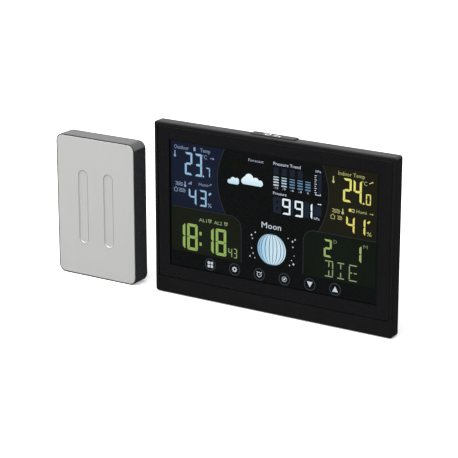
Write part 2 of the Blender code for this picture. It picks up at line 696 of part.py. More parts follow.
def antenna(console):
    """The radio's wire, bent to run up and along the top of the hump."""
    y = BOARD_BACK + GAP + ANTENNA_WIRE
    x = -BOARD_HALF + RADIO_IN
    low = BOARD_TOP - RADIO_DROP + RADIO_HEIGHT + ANTENNA_WIRE + GAP
    top = BOARD_TOP - ANTENNA_DROP
    bend = ANTENNA_BEND
    turns = [pi / 2 * step / CORNER_STEPS for step in range(CORNER_STEPS + 1)]
    corner = [(x + bend - bend * cos(turn), top - bend + bend * sin(turn)) for turn in turns]
    route = [(x, low), *corner, (x + ANTENNA_REACH, top)]
    data = bpy.data.curves.new("radio_antenna", "CURVE")
    data.dimensions = "3D"
    data.bevel_depth = ANTENNA_WIRE
    data.bevel_resolution = 1
    data.use_fill_caps = True
    data.render_resolution_u = 0
    spline = data.splines.new("POLY")
    spline.points.add(len(route) - 1)
    for knot, (u, v) in zip(spline.points, route):
        knot.co = (u, y, v, 1.0)
    data.materials.append(finish_of("copper_wire"))
    obj = bpy.data.objects.new("radio_antenna", data)
    obj.parent = console
    bpy.context.scene.collection.objects.link(obj)


def power_jack(console):
    """The mains adapter's inlet, in the hump's right side: a bore with a centre pin."""
    mouth = HUMP_HALF - HUMP_WALL - GAP
    half = JACK_SIDE / 2
    body = piece("power_jack", "part_black", console, [
        block(mouth - JACK_LENGTH, mouth, JACK_Y - half, JACK_Y + half, JACK_Z - half, JACK_Z + half)
    ])
    floor = mouth - JACK_DEEP
    cut(body, "bore", rod("X", JACK_Y, JACK_Z, JACK_BORE, floor, mouth + OVERRUN))
    add(body, "pin", rod("X", JACK_Y, JACK_Z, JACK_PIN, floor - OVERRUN, mouth - OVERRUN, SMALL_SIDES))


def top_key(console):
    """The snooze and light key, the switch under it and the switch's plunger."""
    x0, x1 = key_span()
    edge = KEY_EDGE
    top = CONSOLE_HEIGHT + KEY_PROUD
    cap = rectangle(x0, x1, KEY_FRONT, SLAB_DEPTH, KEY_CORNER)
    crown = rectangle(x0 + edge, x1 - edge, KEY_FRONT + edge, SLAB_DEPTH - edge, KEY_CORNER - edge / 2)
    flange = rectangle(x0 - KEY_FLANGE, x1 + KEY_FLANGE, KEY_FRONT, KEY_BACK, KEY_CORNER)
    stem = rectangle(
        KEY_X - STEM_X / 2, KEY_X + STEM_X / 2,
        STEM_MIDDLE_Y - STEM_Y / 2, STEM_MIDDLE_Y + STEM_Y / 2, STEM_CORNER)
    flange_bottom = KEY_BOTTOM - KEY_FLANGE_THICK
    origin = (KEY_X, STEM_MIDDLE_Y, KEY_BOTTOM)
    piece("snooze_key", "housing_black", console, [("Z", [
        (crown, top), (cap, top - edge), (cap, KEY_BOTTOM), (flange, KEY_BOTTOM),
        (flange, flange_bottom), (stem, flange_bottom), (stem, PLUNGER_TOP + GAP),
    ])], origin)
    piece("snooze_plunger", "white_plastic", console, [
        rod("Z", KEY_X, STEM_MIDDLE_Y, PLUNGER_RADIUS, PLUNGER_TOP - PLUNGER_LENGTH, PLUNGER_TOP, SMALL_SIDES)
    ], origin)
    half = SWITCH_WIDTH / 2
    switch = piece("snooze_switch", "part_black", console, [
        block(KEY_X - half, KEY_X + half, BOARD_BACK + GAP, STEM_MIDDLE_Y + half,
              SWITCH_TOP - SWITCH_TALL, SWITCH_TOP)
    ])
    bore_bottom = PLUNGER_TOP - PLUNGER_LENGTH - KEY_TRAVEL - GAP
    cut(switch, "plunger_bore", rod(
        "Z", KEY_X, STEM_MIDDLE_Y, PLUNGER_RADIUS + RUN, bore_bottom, SWITCH_TOP + OVERRUN, SMALL_SIDES))


def keyhole(x):
    """A wall hook's hole: a round mouth with a slot rising from it."""
    z = HUMP_TOP - KEYHOLE_DROP
    lift = KEYHOLE_RADIUS * cos(pi / 6)
    rise = z + KEYHOLE_RISE - KEYHOLE_SLOT
    steps = 2 * CORNER_STEPS
    tip = [
        (x + KEYHOLE_SLOT * cos(pi * step / steps), rise + KEYHOLE_SLOT * sin(pi * step / steps))
        for step in range(steps + 1)
    ]
    mouth = [
        (x + KEYHOLE_RADIUS * cos(turn), z + KEYHOLE_RADIUS * sin(turn))
        for turn in (pi * 2 / 3 + pi * 5 / 3 * step / (2 * steps) for step in range(2 * steps + 1))
    ]
    outline = [*tip, (x - KEYHOLE_SLOT, z + lift), *mouth[1:-1], (x + KEYHOLE_SLOT, z + lift)]
    return "Y", [(outline, HUMP_DEPTH - 2 * HUMP_WALL), (outline, HUMP_DEPTH + OVERRUN)]


def rear_cover(console):
    body = piece("rear_cover", "housing_black", console, [
        slab(-HALF_WIDTH, HALF_WIDTH, 0.0, CONSOLE_HEIGHT, SLAB_FRONT, SLAB_DEPTH,
             OUTLINE_CORNER, 0.0, BACK_EDGE)
    ])
    hump_front = (SLAB_FRONT + SLAB_DEPTH) / 2
    add(body, "hump", slab(
        -HUMP_HALF, HUMP_HALF, HUMP_LIFT, HUMP_TOP, hump_front, HUMP_DEPTH, HUMP_CORNER, 0.0, BACK_EDGE))
    x0, x1 = key_span(GAP + TOWER_WALL + KEY_FLANGE)
    tower_back = KEY_BACK + GAP + TOWER_WALL
    add(body, "tower", block(
        x0, x1, hump_front, tower_back, HUMP_TOP - 2 * HUMP_WALL, KEY_BOTTOM + GAP + TOWER_ROOF, BACK_EDGE, "Z"))
    inside(body)
    x0, x1 = key_span(GAP)
    cut(body, "key_opening", block(
        x0, x1, BEZEL_DEPTH, SLAB_DEPTH + GAP, KEY_BOTTOM - OVERRUN, CONSOLE_HEIGHT + OVERRUN))
    x0, x1 = key_span(GAP + KEY_FLANGE)
    cut(body, "key_room", block(
        x0, x1, BEZEL_DEPTH, KEY_BACK + GAP, HUMP_TOP - 3 * HUMP_WALL, KEY_BOTTOM + GAP))
    battery_bay(body)
    stand_recess(body)
    side = HUMP_HALF - 2 * HUMP_WALL
    cut(body, "jack_mouth", rod("X", JACK_Y, JACK_Z, JACK_BORE + GAP, side, HUMP_HALF + OVERRUN))
    cut(body, "keyholes", keyhole(-KEYHOLE_X), keyhole(KEYHOLE_X))
    vents = []
    for index in range(VENT_COUNT):
        z = VENT_Z + VENT_PITCH * (index - 1)
        vents.append(block(
            VENT_X - VENT_LONG / 2, VENT_X + VENT_LONG / 2, HUMP_DEPTH - 2 * HUMP_WALL, HUMP_DEPTH + OVERRUN,
            z, z + VENT_TALL))
    cut(body, "vents", *vents)
    heads = []
    for x, z in post_places():
        heads.append(turned("Y", x, z, [
            (SCREW_RADIUS + RUN, SLAB_FRONT - OVERRUN), (SCREW_RADIUS + RUN, SLAB_DEPTH - SCREW_HEAD - GAP),
            (SCREW_HEAD_RADIUS + RUN, SLAB_DEPTH - SCREW_HEAD - GAP), (SCREW_HEAD_RADIUS + RUN, SLAB_DEPTH + OVERRUN),
        ], SMALL_SIDES))
    cut(body, "screw_holes", *heads)
    return body


def inside(body):
    """Hollows the hump, and leaves the bay, the stand's recess and the hinge bosses standing."""
    half = HUMP_HALF - HUMP_WALL
    room = cut(body, "inside", block(
        -half, half, BEZEL_DEPTH, HUMP_DEPTH - HUMP_WALL, HUMP_LIFT + HUMP_WALL, HUMP_TOP - HUMP_WALL))
    beyond = HUMP_DEPTH + OVERRUN
    bay = BAY_HALF + BAY_WALL
    cut(room, "bay_walls", block(
        -bay, bay, BAY_FLOOR - BAY_WALL, beyond, BAY_BOTTOM - BAY_WALL, BAY_TOP + BAY_WALL))
    recess = RECESS_HALF + RECESS_WALL
    cut(room, "recess_walls", block(
        -recess, recess, HUMP_DEPTH - RECESS_DEPTH - RECESS_WALL, beyond, -OVERRUN, RECESS_TOP + RECESS_WALL))
    boss = RECESS_HALF + HINGE_BOSS
    swing = BARREL_RADIUS + GAP + RECESS_WALL
    cut(room, "hinge_bosses", block(
        -boss, boss, HINGE_Y - swing, beyond + OVERRUN, -2 * OVERRUN, HINGE_Z + swing))


def battery_bay(body):
    half = BAY_HALF
    cut(body, "bay", block(-half, half, BAY_FLOOR, HUMP_DEPTH + OVERRUN, BAY_BOTTOM, BAY_TOP))
    lip = half + DOOR_LIP + GAP
    cut(body, "door_seat", block(
        -lip, lip, DOOR_FRONT - GAP, HUMP_DEPTH + OVERRUN,
        BAY_BOTTOM - DOOR_LIP - GAP, BAY_TOP + DOOR_LIP + GAP, DOOR_CORNER + GAP))


def stand_recess(body):
    cut(body, "foot_recess", block(
        -RECESS_HALF, RECESS_HALF, HUMP_DEPTH - RECESS_DEPTH, HUMP_DEPTH + OVERRUN, -OVERRUN, RECESS_TOP))
    room = BARREL_RADIUS + GAP
    cut(body, "barrel_room", block(
        -RECESS_HALF, RECESS_HALF, HINGE_Y - room, HUMP_DEPTH + OVERRUN, -2 * OVERRUN, HINGE_Z + room))
    end = RECESS_HALF + PIN_GRIP + GAP
    cut(body, "pin_holes", rod("X", HINGE_Y, HINGE_Z, PIN_RADIUS + RUN, -end, end, SMALL_SIDES))
    notch = RECESS_TOP + GRIP_SHOWS - GRIP_NOTCH
    cut(body, "grip", rod("Y", 0.0, notch, GRIP_NOTCH, HUMP_DEPTH - RECESS_DEPTH, HUMP_DEPTH + OVERRUN))


def battery_door(console):
    half = BAY_HALF + DOOR_LIP
    low, high = BAY_BOTTOM - DOOR_LIP, BAY_TOP + DOOR_LIP
    origin = (0.0, DOOR_FRONT, (low + high) / 2)
    door = piece("battery_door", "housing_black", console, [
        slab(-half, half, low, high, DOOR_FRONT, HUMP_DEPTH, DOOR_CORNER, 0.0, GAP)
    ], origin)
    thumb = high - DOOR_LIP
    cut(door, "thumb_grip", block(
        -THUMB_WIDTH / 2, THUMB_WIDTH / 2, HUMP_DEPTH - THUMB_DEEP, HUMP_DEPTH + OVERRUN,
        thumb - THUMB_TALL, thumb, THUMB_TALL / 4))


def console_power(console):
    """Three cells that lie side by side and point left and right in turn, and their contacts."""
    for index in range(CONSOLE_CELLS):
        towards = 1 if index % 2 == 0 else -1
        z = BAY_BOTTOM + CELL_SPACE + CELL_RADIUS + CELL_PITCH * index
        cell_with_contacts(console, f"{index + 1}", "console", "X", CELL_Y, z, 0.0, towards)


def cell_with_contacts(parent, label, owner, plane, u, v, middle, towards):
    """A cell in a bay centred at middle, with a flat contact at its tip and a coil at its tail."""
    wall = middle + towards * BAY_HALF
    inner = wall - towards * (GAP + CONTACT_THICK)
    tip = inner - towards * GAP
    cell(f"{owner}_cell_{label}", parent, plane, u, v, tip, towards)
    half = CONTACT_SIDE / 2
    low, high = sorted((wall - towards * GAP, inner))
    outline = rectangle(u - half, u + half, v - half, v + half)
    piece(f"{owner}_contact_{label}", "plated_contact", parent, [(plane, [(outline, low), (outline, high)])])
    tail = tip - towards * CELL_LENGTH
    coil(f"{owner}_cell_spring_{label}", "spring_steel", parent, plane, u, v, tail - towards * GAP,
         -towards * SPRING_LENGTH, SPRING_RADII, SPRING_TURNS, SPRING_WIRE)


def stand(console):
    """The foot that swings down behind the console, on a pin across the hump."""
    half = FOOT_WIDTH / 2
    bottom = HINGE_Z - FOOT_THICK - GAP / 2
    top = bottom + FOOT_THICK
    origin = (0.0, HINGE_Y, HINGE_Z)
    far = HINGE_Y + FOOT_REACH
    outline = rectangle(-half, half, HINGE_Y - FOOT_CORNER, far, FOOT_CORNER)
    foot = piece("stand_foot", "housing_black", console, [("Z", [(outline, bottom), (outline, top)])], origin)
    cut(foot, "square_end", block(
        -half - OVERRUN, half + OVERRUN, HINGE_Y - 2 * FOOT_CORNER, HINGE_Y, bottom - OVERRUN, top + OVERRUN))
    add(foot, "barrel", rod("X", HINGE_Y, HINGE_Z, BARREL_RADIUS, -half, half))
    cut(foot, "pin_bore", rod(
        "X", HINGE_Y, HINGE_Z, PIN_RADIUS + RUN, -half - OVERRUN, half + OVERRUN, SMALL_SIDES))
    end = RECESS_HALF + PIN_GRIP
    piece("stand_pin", "spring_steel", console, [
        rod("X", HINGE_Y, HINGE_Z, PIN_RADIUS, -end, end, SMALL_SIDES)
    ], origin)


def console_fittings(console):
    for side, label in ((-1, "left"), (1, "right")):
        shape = pad(side, -PAD_PROUD, PAD_SINK, 0.0, PAD_CORNER)
        piece(f"rubber_foot_{label}", "rubber_black", console, [shape])
    for index, (x, z) in enumerate(post_places(), 1):
        screw(f"case_screw_{index}", console, x, z, SLAB_DEPTH)


# ---------------------------------------------------------------- outdoor sensor
def sensor_outline(inset):
    return -SENSOR_HALF + inset, SENSOR_HALF - inset, inset, SENSOR_HEIGHT - inset


def sensor_front(sensor):
    plate = piece("sensor_face_plate", "sensor_silver", sensor, [
        slab(*sensor_outline(PLATE_INSET), 0.0, PLATE_THICK, SENSOR_CORNER - PLATE_INSET, PLATE_EDGE)
    ])
    middle = SENSOR_HEIGHT / 2
    low, high = middle - GROOVE_LENGTH / 2, middle + GROOVE_LENGTH / 2
    grooves = []
    for side in (-1, 1):
        outline = stadium(side * GROOVE_APART / 2, low, high, GROOVE_WIDTH / 2)
        grooves.append(("Y", [(outline, -OVERRUN), (outline, GROOVE_DEEP)]))
    cut(plate, "grooves", *grooves)
    shell = piece("sensor_front_shell", "sensor_black", sensor, [
        slab(*sensor_outline(0.0), PLATE_PROUD, SHELL_DEPTH, SENSOR_CORNER, SENSOR_FRONT_EDGE)
    ])
    inset = PLATE_INSET - GAP
    x0, x1, z0, z1 = sensor_outline(inset)
    cut(shell, "pocket", block(x0, x1, -OVERRUN, POCKET_DEPTH, z0, z1, SENSOR_CORNER - inset))
    x0, x1, z0, z1 = sensor_outline(SENSOR_WALL)
    cut(shell, "inside", block(
        x0, x1, SHELL_INNER, SHELL_DEPTH + OVERRUN, z0, z1, SENSOR_CORNER - SENSOR_WALL))
    seal_room = SEAL_THICK + 2 * GAP
    x0, x1, z0, z1 = sensor_outline(SENSOR_WALL - SEAL_BAND / 2)
    cut(shell, "seal_step", block(
        x0, x1, SHELL_DEPTH - seal_room, SHELL_DEPTH + OVERRUN, z0, z1, SENSOR_CORNER - SENSOR_WALL))
    inset = SENSOR_WALL - SEAL_BAND / 2 + GAP
    seal = piece("sensor_seal", "rubber_black", sensor, [
        slab(*sensor_outline(inset), SHELL_DEPTH - SEAL_THICK - GAP, SHELL_DEPTH - GAP,
             SENSOR_CORNER - SENSOR_WALL)
    ])
    x0, x1, z0, z1 = sensor_outline(inset + SEAL_BAND)
    cut(seal, "middle", block(x0, x1, 0.0, SHELL_DEPTH + OVERRUN, z0, z1, SENSOR_CORNER - SENSOR_WALL))


def sensor_back(sensor):
    body = piece("sensor_rear_shell", "sensor_black", sensor, [
        slab(*sensor_outline(0.0), SENSOR_BACK_FRONT, SENSOR_DEPTH, SENSOR_CORNER, 0.0, SENSOR_EDGE)
    ])
    wall = SENSOR_BAY_WALL
    half = SENSOR_BAY_HALF
    add(body, "bay_walls", block(
        -half - wall, half + wall, SHELL_INNER + GAP, SENSOR_DEPTH - GAP,
        SENSOR_BAY_Z - wall, SHELF_TOP + wall))
    cut(body, "bay", block(
        -half, half, 0.0, SENSOR_DEPTH + OVERRUN, SENSOR_BAY_Z, SENSOR_BAY_TOP))
    cut(body, "shelf_back", block(-half, half, SHELF_BACK, SENSOR_DEPTH + OVERRUN, SHELF_Z - wall - GAP, SHELF_TOP))
    cut(body, "shelf_front", block(-half, half, 0.0, SHELF_BACK - SHELF_THICK, SHELF_Z, SHELF_TOP))
    lip = half + DOOR_LIP
    cut(body, "door_seat", block(
        -lip - GAP, lip + GAP, SENSOR_DEPTH - SENSOR_DOOR_THICK - GAP, SENSOR_DEPTH + OVERRUN,
        SENSOR_BAY_Z - DOOR_LIP - GAP, SHELF_TOP + DOOR_LIP + GAP, DOOR_CORNER + GAP))
    cut(body, "button_hole", rod(
        "Y", TX_X, SHELF_MIDDLE, TX_RADIUS + RUN, SHELF_BACK - 2 * SHELF_THICK, SHELF_BACK + OVERRUN, SMALL_SIDES))
    slide = CHANNEL_STEP * CHANNEL_STEPS
    cut(body, "channel_slot", block(
        CHANNEL_X - CHANNEL_KNOB / 2 - RUN, CHANNEL_X + slide + CHANNEL_KNOB / 2 + RUN,
        SHELF_BACK - 2 * SHELF_THICK, SHELF_BACK + OVERRUN,
        SHELF_MIDDLE - CHANNEL_TALL / 2 - RUN, SHELF_MIDDLE + CHANNEL_TALL / 2 + RUN))
    hook = SENSOR_HEIGHT - HOOK_DROP
    cut(body, "hook_hole", rod("Y", 0.0, hook, KEYHOLE_RADIUS, SENSOR_BACK_FRONT - OVERRUN, SENSOR_DEPTH + OVERRUN))
    cut(body, "screw_bore", rod(
        "Y", 0.0, SHELF_TOP - DOOR_SCREW_DROP, SCREW_RADIUS + RUN, SHELF_BACK - 2 * SHELF_THICK,
        SHELF_BACK + OVERRUN, SMALL_SIDES))
    return body


def sensor_door(sensor):
    half = SENSOR_BAY_HALF + DOOR_LIP
    low, high = SENSOR_BAY_Z - DOOR_LIP, SHELF_TOP + DOOR_LIP
    front = SENSOR_DEPTH - SENSOR_DOOR_THICK
    origin = (0.0, front, (low + high) / 2)
    door = piece("sensor_battery_door", "sensor_black", sensor, [
        slab(-half, half, low, high, front, SENSOR_DEPTH, DOOR_CORNER, 0.0, GAP)
    ], origin)
    screw_z = SHELF_TOP - DOOR_SCREW_DROP
    seat = SENSOR_DEPTH - SCREW_HEAD + GAP
    cut(door, "screw_hole", turned("Y", 0.0, screw_z, [
        (SCREW_RADIUS + RUN, front - OVERRUN), (SCREW_RADIUS + RUN, seat - 2 * GAP),
        (SCREW_HEAD_RADIUS + RUN, seat - 2 * GAP), (SCREW_HEAD_RADIUS + RUN, SENSOR_DEPTH + OVERRUN),
    ], SMALL_SIDES))
    screw("sensor_door_screw", sensor, 0.0, screw_z, SENSOR_DEPTH)


def sensor_electronics(sensor):
    side = SENSOR_HALF - SENSOR_WALL - SENSOR_BOARD_SIDE
    top = SENSOR_HEIGHT - SENSOR_WALL - SENSOR_BOARD_SIDE
    board_back = SENSOR_BOARD_Y + SENSOR_BOARD_THICK
    bottom = SHELF_TOP + SENSOR_BAY_WALL + GAP
    piece("sensor_board", "board_green", sensor, [
        block(-side, side, SENSOR_BOARD_Y, board_back, bottom, top)
    ])
    back = board_back + GAP
    bead = [
        (PROBE_RADIUS * share, back + PROBE_TALL * rise)
        for share, rise in ((0.4, 0.0), (0.9, 0.2), (1.0, 0.6), (0.5, 1.0))
    ]
    piece("sensor_probe", "part_black", sensor, [
        turned("Y", side - PROBE_IN, bottom + PROBE_RISE, bead, SMALL_SIDES)
    ])
    stem_front = SHELF_BACK - SHELF_THICK - SWITCH_BASE
    proud = SHELF_BACK + TX_PROUD
    piece("tx_button", "white_plastic", sensor, [
        turned("Y", TX_X, SHELF_MIDDLE, [
            (TX_RADIUS + BUTTON_FLANGE, stem_front), (TX_RADIUS + BUTTON_FLANGE, SHELF_BACK - SHELF_THICK - GAP),
            (TX_RADIUS, SHELF_BACK - SHELF_THICK - GAP), (TX_RADIUS, proud),
        ], SMALL_SIDES)
    ], (TX_X, proud, SHELF_MIDDLE))
    base_front = SHELF_BACK - SHELF_THICK - GAP - SWITCH_BASE
    knob = rectangle(
        CHANNEL_X - CHANNEL_KNOB / 2, CHANNEL_X + CHANNEL_KNOB / 2,
        SHELF_MIDDLE - CHANNEL_TALL / 2, SHELF_MIDDLE + CHANNEL_TALL / 2)
    foot = rectangle(
        CHANNEL_X - CHANNEL_KNOB, CHANNEL_X + CHANNEL_KNOB,
        SHELF_MIDDLE - CHANNEL_TALL, SHELF_MIDDLE + CHANNEL_TALL)
    knee = SHELF_BACK - SHELF_THICK - GAP
    piece("channel_switch", "white_plastic", sensor, [("Y", [
        (foot, base_front), (foot, knee), (knob, knee), (knob, SHELF_BACK + TX_PROUD),
    ])], (CHANNEL_X, knee, SHELF_MIDDLE))


def sensor_power(sensor):
    """Two cells that stand side by side, one up and one down, and their contacts."""
    middle = SENSOR_BAY_Z + BAY_HALF
    for index in range(SENSOR_CELLS):
        towards = 1 if index % 2 == 0 else -1
        x = -SENSOR_BAY_HALF + CELL_SPACE + CELL_RADIUS + CELL_PITCH * index
        cell_with_contacts(sensor, f"{index + 1}", "sensor", "Z", x, SENSOR_CELL_Y, middle, towards)


def main():
    clear_scene()
    left = -TOTAL_WIDTH / 2
    front = -DEPTH / 2
    console = frame_empty("console_frame", (left + TOTAL_WIDTH - HALF_WIDTH, front, PAD_PROUD))
    sensor = frame_empty("sensor_frame", (left + SENSOR_HALF, front, 0.0))
    front_bezel(console)
    display_stack(console)
    main_electronics(console)
    power_jack(console)
    top_key(console)
    rear_cover(console)
    battery_door(console)
    console_power(console)
    stand(console)
    console_fittings(console)
    sensor_front(sensor)
    sensor_back(sensor)
    sensor_door(sensor)
    sensor_electronics(sensor)
    sensor_power(sensor)


main()
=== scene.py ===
"""Home weather station: the looks of a desk console and its outdoor sensor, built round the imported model.

Run as a script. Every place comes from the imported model's boxes. Plans of the display are in
millimetres from the console's lower left front corner: x to the right, z up.
"""

import json
from math import cos, pi, radians, sin, sqrt

import bmesh
import bpy
from bpy.props import FloatProperty, FloatVectorProperty, PointerProperty
from bpy.types import Operator, Panel, PropertyGroup
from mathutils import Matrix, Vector


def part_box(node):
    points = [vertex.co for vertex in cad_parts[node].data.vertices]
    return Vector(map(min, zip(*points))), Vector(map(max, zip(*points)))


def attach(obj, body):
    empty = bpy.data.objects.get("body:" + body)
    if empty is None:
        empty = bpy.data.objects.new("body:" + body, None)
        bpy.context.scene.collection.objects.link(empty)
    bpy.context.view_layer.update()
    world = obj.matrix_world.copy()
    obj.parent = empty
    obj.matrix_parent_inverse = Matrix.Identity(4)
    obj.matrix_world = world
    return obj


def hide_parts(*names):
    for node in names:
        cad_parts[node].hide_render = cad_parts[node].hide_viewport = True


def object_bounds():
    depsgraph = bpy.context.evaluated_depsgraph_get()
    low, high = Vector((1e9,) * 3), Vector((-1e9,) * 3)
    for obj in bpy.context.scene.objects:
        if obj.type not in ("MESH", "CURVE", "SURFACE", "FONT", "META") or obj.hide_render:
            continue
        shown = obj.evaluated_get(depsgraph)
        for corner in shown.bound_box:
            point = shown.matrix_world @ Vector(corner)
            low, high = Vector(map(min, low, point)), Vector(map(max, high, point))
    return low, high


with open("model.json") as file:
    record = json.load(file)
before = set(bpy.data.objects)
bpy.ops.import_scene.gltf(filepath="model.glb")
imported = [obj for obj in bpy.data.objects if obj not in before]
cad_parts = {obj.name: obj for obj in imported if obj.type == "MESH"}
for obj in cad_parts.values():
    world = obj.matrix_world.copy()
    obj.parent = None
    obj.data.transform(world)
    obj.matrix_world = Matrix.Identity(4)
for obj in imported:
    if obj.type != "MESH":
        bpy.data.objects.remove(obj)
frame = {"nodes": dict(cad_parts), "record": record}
CAD_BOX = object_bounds()

bl_info = {
    "name": "Home Weather Station",
    "version": (1, 0, 0),
    "blender": (4, 5, 0),
    "location": "3D View > Sidebar > Weather Station",
    "description": "Builds the looks of a desk weather station and its outdoor sensor",
    "category": "Object",
}

MM = 0.001
CAPITAL = 0.729         # height of the built-in font's capitals at size 1
SUNK = 1.5              # layers from an inlay's face to its back
SMOOTH_ANGLE = 38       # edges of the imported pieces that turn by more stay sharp
WINDOW, FIELDS, LINES, FIGURES = 1, 2, 3, 4     # layers of the display, counted out from the lens
FLOOR_RADIUS, FLOOR_THICK = 9.0, 0.02
CAMERA_PLACE = (0.63682, -1.03928, 0.42740)
CAMERA_TURN, CAMERA_TILT = 31.86, 17.455        # to the left and down, in degrees
CAMERA_LENS = 148.9
CASE_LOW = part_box("front_bezel")[0]
LENS_LOW, LENS_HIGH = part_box("front_lens")
KEY_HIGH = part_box("snooze_key")[1]
PLATE_LOW, PLATE_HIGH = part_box("sensor_face_plate")
SHELL_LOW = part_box("sensor_front_shell")[0]

# ---------------------------------------------------------------- settings


def colour(name, description, default):
    return FloatVectorProperty(
        name=name, description=description, default=default, subtype="COLOR", size=3, min=0.0, max=1.0)


def length(name, description, default):
    return FloatProperty(
        name=name, description=description, default=default, min=0.0, unit="LENGTH", precision=5)


def amount(name, description, default):
    return FloatProperty(name=name, description=description, default=default, min=0.0)


class StationSizes(PropertyGroup):
    layer: length("Layer", "Depth of each printed or lit layer on the lens", 0.00004)
    line: length("Line", "Width of the lines between the display's fields", 0.0004)
    ring: length("Ring", "Radius of the ring round each touch key", 0.0042)
    moon: length("Moon", "Radius of the moon", 0.0108)
    plate_round: length("Plate rounding", "Rounding of the face plate's edge", 0.0002)
    groove_lip: length("Groove lip", "Width of each groove's rounded side", 0.00045)


class StationColours(PropertyGroup):
    housing: colour("Housing", "Moulded case", (0.0022, 0.0022, 0.0025))
    lens: colour("Lens", "Smoked lens", (0.0052, 0.0052, 0.0056))
    window: colour("Window", "Display round the fields", (0.0030, 0.0033, 0.0033))
    outdoor_field: colour("Outdoor field", "Field behind the outdoor readings", (0.0100, 0.0140, 0.0310))
    indoor_field: colour("Indoor field", "Field behind the indoor readings", (0.0150, 0.0142, 0.0080))
    clock_field: colour("Clock field", "Field behind the clock", (0.0100, 0.0132, 0.0078))
    date_field: colour("Date field", "Field behind the date", (0.0070, 0.0105, 0.0072))
    outdoor: colour("Outdoor", "Outdoor readings", (0.27, 0.46, 0.65))
    outdoor_faint: colour("Outdoor labels", "Small outdoor lettering", (0.19, 0.27, 0.40))
    indoor: colour("Indoor", "Indoor temperature", (0.70, 0.69, 0.17))
    indoor_low: colour("Indoor humidity", "Indoor humidity", (0.70, 0.61, 0.15))
    indoor_faint: colour("Indoor labels", "Small indoor lettering", (0.36, 0.38, 0.14))
    clock: colour("Clock", "Clock figures", (0.26, 0.39, 0.105))
    clock_faint: colour("Clock labels", "Alarm lettering", (0.26, 0.33, 0.16))
    date: colour("Date", "Date figures", (0.29, 0.40, 0.13))
    date_faint: colour("Weekday", "Weekday figures", (0.24, 0.31, 0.15))
    white: colour("White", "White figures", (0.72, 0.81, 0.88))
    grey: colour("Grey", "Small white lettering", (0.52, 0.57, 0.70))
    blue: colour("Blue bars", "Later bars of the trend", (0.11, 0.21, 0.34))
    unlit: colour("Unlit", "Unlit segments", (0.0120, 0.0180, 0.0300))
    outdoor_sign: colour("Outdoor signs", "Small outdoor signs", (0.23, 0.31, 0.47))
    indoor_sign: colour("Indoor signs", "Small indoor signs", (0.46, 0.45, 0.18))
    plate: colour("Face plate", "Sensor's face plate", (0.555, 0.555, 0.547))
    sensor: colour("Sensor", "Sensor's housing", (0.0130, 0.0138, 0.0162))


class StationLight(PropertyGroup):
    sky: amount("Sky", "Brightness of the studio round the set", 1.0)
    ground: amount("Ground", "Brightness below the horizon", 0.06)
    key: amount("Key light", "Power of the large light over the set, in watts", 40.0)
    fill: amount("Fill light", "Power of the light on the left, in watts", 12.0)
    floor: amount("Floor", "Light that comes through the pale floor", 0.30)
    glow: amount("Glow", "Strength of the lit figures", 1.0)


def sizes():
    return bpy.context.scene.station_sizes


def colours():
    return bpy.context.scene.station_colours


def light():
    return bpy.context.scene.station_light


# ---------------------------------------------------------------- shader expressions


class Wire:
    """A node's output. Arithmetic on it adds the Math nodes."""

    def __init__(self, finish, socket):
        self.finish, self.socket = finish, socket

    def maths(self, operation, *values):
        return self.finish.node("Math", {"operation": operation}, dict(enumerate(values)))

    def __add__(self, other):
        return self.maths("ADD", self, other)

    __radd__ = __add__

    def __sub__(self, other):
        return self.maths("SUBTRACT", self, other)

    def __rsub__(self, other):
        return self.maths("SUBTRACT", other, self)

    def __mul__(self, other):
        return self.maths("MULTIPLY", self, other)

    __rmul__ = __mul__


class Finish:
    """A material, and the one way to add a node to it."""

    def __init__(self, name):
        self.material = bpy.data.materials.new(name)
        self.material.use_nodes = True
        self.tree = self.material.node_tree
        self.tree.nodes.clear()

    def node(self, kind, settings=None, values=None, output=0):
        made = self.tree.nodes.new("ShaderNode" + kind)
        for name, value in (settings or {}).items():
            setattr(made, name, value)
        for name, value in (values or {}).items():
            socket = made.inputs[name]
            if isinstance(value, Wire):
                self.tree.links.new(value.socket, socket)
            else:
                if socket.type == "RGBA" and len(value) == 3:
                    value = (*value, 1.0)
                socket.default_value = value
        return None if output is None else Wire(self, made.outputs[output])

    def place(self, stretch=(1.0, 1.0, 1.0)):
        where = self.node("TexCoord", output="Object")
        return self.node("Mapping", {"vector_type": "POINT"}, {"Vector": where, "Scale": stretch})

    def noise(self, where, scale, detail=3.0, rough=0.55):
        return self.node("TexNoise", None, {
            "Vector": where, "Scale": scale, "Detail": detail, "Roughness": rough}, "Fac")

    def cells(self, where, scale):
        return self.node("TexVoronoi", None, {"Vector": where, "Scale": scale}, "Distance")

    def shade(self, mask, low, high):
        """low where the mask is 0, high where it is 1."""
        return self.node("Mix", {"data_type": "RGBA"}, {0: mask, 6: low, 7: high}, 2)

    def stretch(self, value, low, high):
        """value taken from low..high to 0..1, and held there."""
        return self.node("MapRange", {"clamp": True}, {"Value": value, "From Min": low, "From Max": high})

    def bump(self, height, depth, strength=1.0):
        return self.node("Bump", None, {"Height": height, "Distance": depth, "Strength": strength})

    def surface(self, **values):
        """The Principled shader, with sockets named in words joined by underscores."""
        sockets = {name.replace("_", " "): value for name, value in values.items()}
        shader = self.node("BsdfPrincipled", None, sockets)
        self.node("OutputMaterial", None, {"Surface": shader}, output=None)
        return self.material


def darker(shade, share):
    return tuple(value * share for value in shade)


# ---------------------------------------------------------------- finishes


